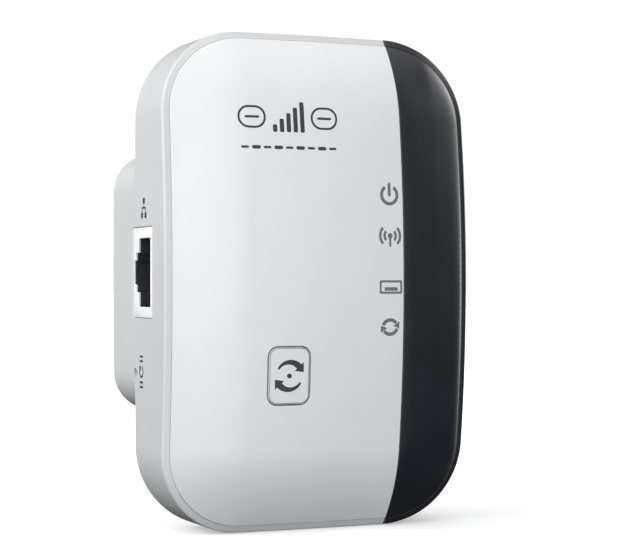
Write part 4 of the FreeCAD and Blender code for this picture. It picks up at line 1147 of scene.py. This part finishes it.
def build_floor():
    floor_z, count = -43.52, 24
    material = floor_material()
    skin = Skin()
    skin.add(np.array([(x, y, floor_z) for y in np.linspace(-900, 5200, count)
                       for x in np.linspace(-2600, 2600, count)]), (0, 0, 1))
    for j in range(count - 1):
        for i in range(count - 1):
            corner = j * count + i
            skin.faces.append((corner, corner + 1, corner + count + 1, corner + count))
    floor = skin.build("floor", BASE, material)
    # the floor belongs to the stage, so it is freed from the body again
    floor.parent = None
    del floor["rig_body"]
    floor.visible_diffuse = False
    floor.visible_glossy = False
    floor.visible_shadow = False


def direction(azimuth, elevation):
    """Unit vector from degrees; azimuth turns from the front (-Y) towards the left (-X)."""
    turn, lift = math.radians(azimuth), math.radians(elevation)
    return (-math.sin(turn) * math.cos(lift), -math.cos(turn) * math.cos(lift), math.sin(lift))


# azimuth, elevation, sharpness, gain
LOBES = ((30, 0, 8, 1.61), (0, 0, 8, 1.56), (-60, 0, 30, 0.06), (-100, 0, 30, 3.2),
         (0, 40, 8, 0.60), (-72, 24, 24, 0.75), (-92, 24, 30, 3.4), (0, 85, 6, 1.60))
BACK_LOBE = (172, 18, 12, 1.3)


def build_world():
    """Soft round lights at the front, right and top of a dark world; the camera sees white."""
    world = bpy.data.worlds.new("tent")
    bpy.context.scene.world = world
    world.use_nodes = True
    tree = world.node_tree
    tree.nodes.clear()
    output = tree.nodes.new("ShaderNodeOutputWorld")
    coordinates = tree.nodes.new("ShaderNodeTexCoord")
    axes = tree.nodes.new("ShaderNodeSeparateXYZ")
    tree.links.new(coordinates.outputs["Generated"], axes.inputs[0])

    def lobe(azimuth, elevation, sharpness, gain):
        towards = Vector(direction(azimuth, elevation)).normalized()
        x, y, z = (math_node(tree, "MULTIPLY", axes.outputs[i], towards[i]) for i in range(3))
        dot = math_node(tree, "ADD", math_node(tree, "ADD", x, y), z)
        power = math_node(tree, "POWER", math_node(tree, "MAXIMUM", dot, 0.0), sharpness)
        return math_node(tree, "MULTIPLY", power, gain)

    level = 0.0
    for settings in LOBES:
        level = math_node(tree, "ADD", level, lobe(*settings))
    # a fill from behind that only diffuse shading sees, so that it leaves no glints
    ray = tree.nodes.new("ShaderNodeLightPath")
    back = math_node(tree, "MULTIPLY", lobe(*BACK_LOBE), ray.outputs["Is Diffuse Ray"])
    level = math_node(tree, "MAXIMUM", math_node(tree, "ADD", level, back), 0.01)
    mix = tree.nodes.new("ShaderNodeMixShader")
    tree.links.new(ray.outputs["Is Camera Ray"], mix.inputs[0])
    for i, colour, strength in ((1, (0.99, 0.993, 1.0, 1), level), (2, (1, 1, 1, 1), 1.05)):
        background = tree.nodes.new("ShaderNodeBackground")
        background.inputs["Color"].default_value = colour
        feed(tree, background.inputs["Strength"], strength)
        tree.links.new(background.outputs[0], mix.inputs[i])
    tree.links.new(mix.outputs[0], output.inputs[0])


SOFTBOX_TARGET = (0, -0.02, 0)      # metres
# azimuth, elevation, distance (m), side (m), power (W)
SOFTBOXES = ((75, 45, 0.30, 0.16, 0.085), (105, 20, 0.28, 0.16, 0.558),
             (60, 20, 0.35, 0.20, 0.247))


def build_softboxes():
    """Three square lights on the left."""
    for k, (azimuth, elevation, distance, side, power) in enumerate(SOFTBOXES):
        name = "softbox_%d" % k
        light = bpy.data.lights.new(name, "AREA")
        light.shape = "RECTANGLE"
        light.size = light.size_y = side
        light.energy = power
        obj = bpy.data.objects.new(name, light)
        bpy.context.scene.collection.objects.link(obj)
        place = Vector([target + distance * part for target, part
                        in zip(SOFTBOX_TARGET, direction(azimuth, elevation))])
        obj.location = place
        aim = Vector(SOFTBOX_TARGET) - place
        obj.rotation_euler = aim.to_track_quat("-Z", "Y").to_euler()


def build_camera():
    """A level camera in front and to the left, looking back and to the right."""
    turn = math.radians(24.0)
    distance, shift_right, height = 322.0, -0.43, 0.46      # mm, from the front rim
    right = Vector((math.cos(turn), -math.sin(turn), 0))
    forward = Vector((math.sin(turn), math.cos(turn), 0))
    place = (shift_right * right - distance * forward + Vector((0, RIM_Y, height))) * 0.001
    camera = bpy.data.cameras.new("camera")
    camera.sensor_fit = "HORIZONTAL"
    camera.sensor_width = 36.0
    camera.lens = 104.175
    camera.clip_start, camera.clip_end = 0.01, 50.0
    obj = bpy.data.objects.new("camera", camera)
    scene = bpy.context.scene
    scene.collection.objects.link(obj)
    obj.matrix_world = Matrix(((right.x, 0, -forward.x, place.x),
                               (right.y, 0, -forward.y, place.y),
                               (0, 1, 0, place.z), (0, 0, 0, 1)))
    scene.camera = obj
    scene.view_settings.view_transform = "Standard"
    scene.view_settings.look = "None"


for build in (build_housing, build_cover, build_trim, build_button,
              print_signal_mark, print_status_symbols, print_button_marks_and_edge_shade,
              print_side_symbols, print_label_rules, build_pins, dress_cad_pieces,
              build_floor, build_world, build_softboxes, build_camera):
    build()

bpy.context.view_layer.update()
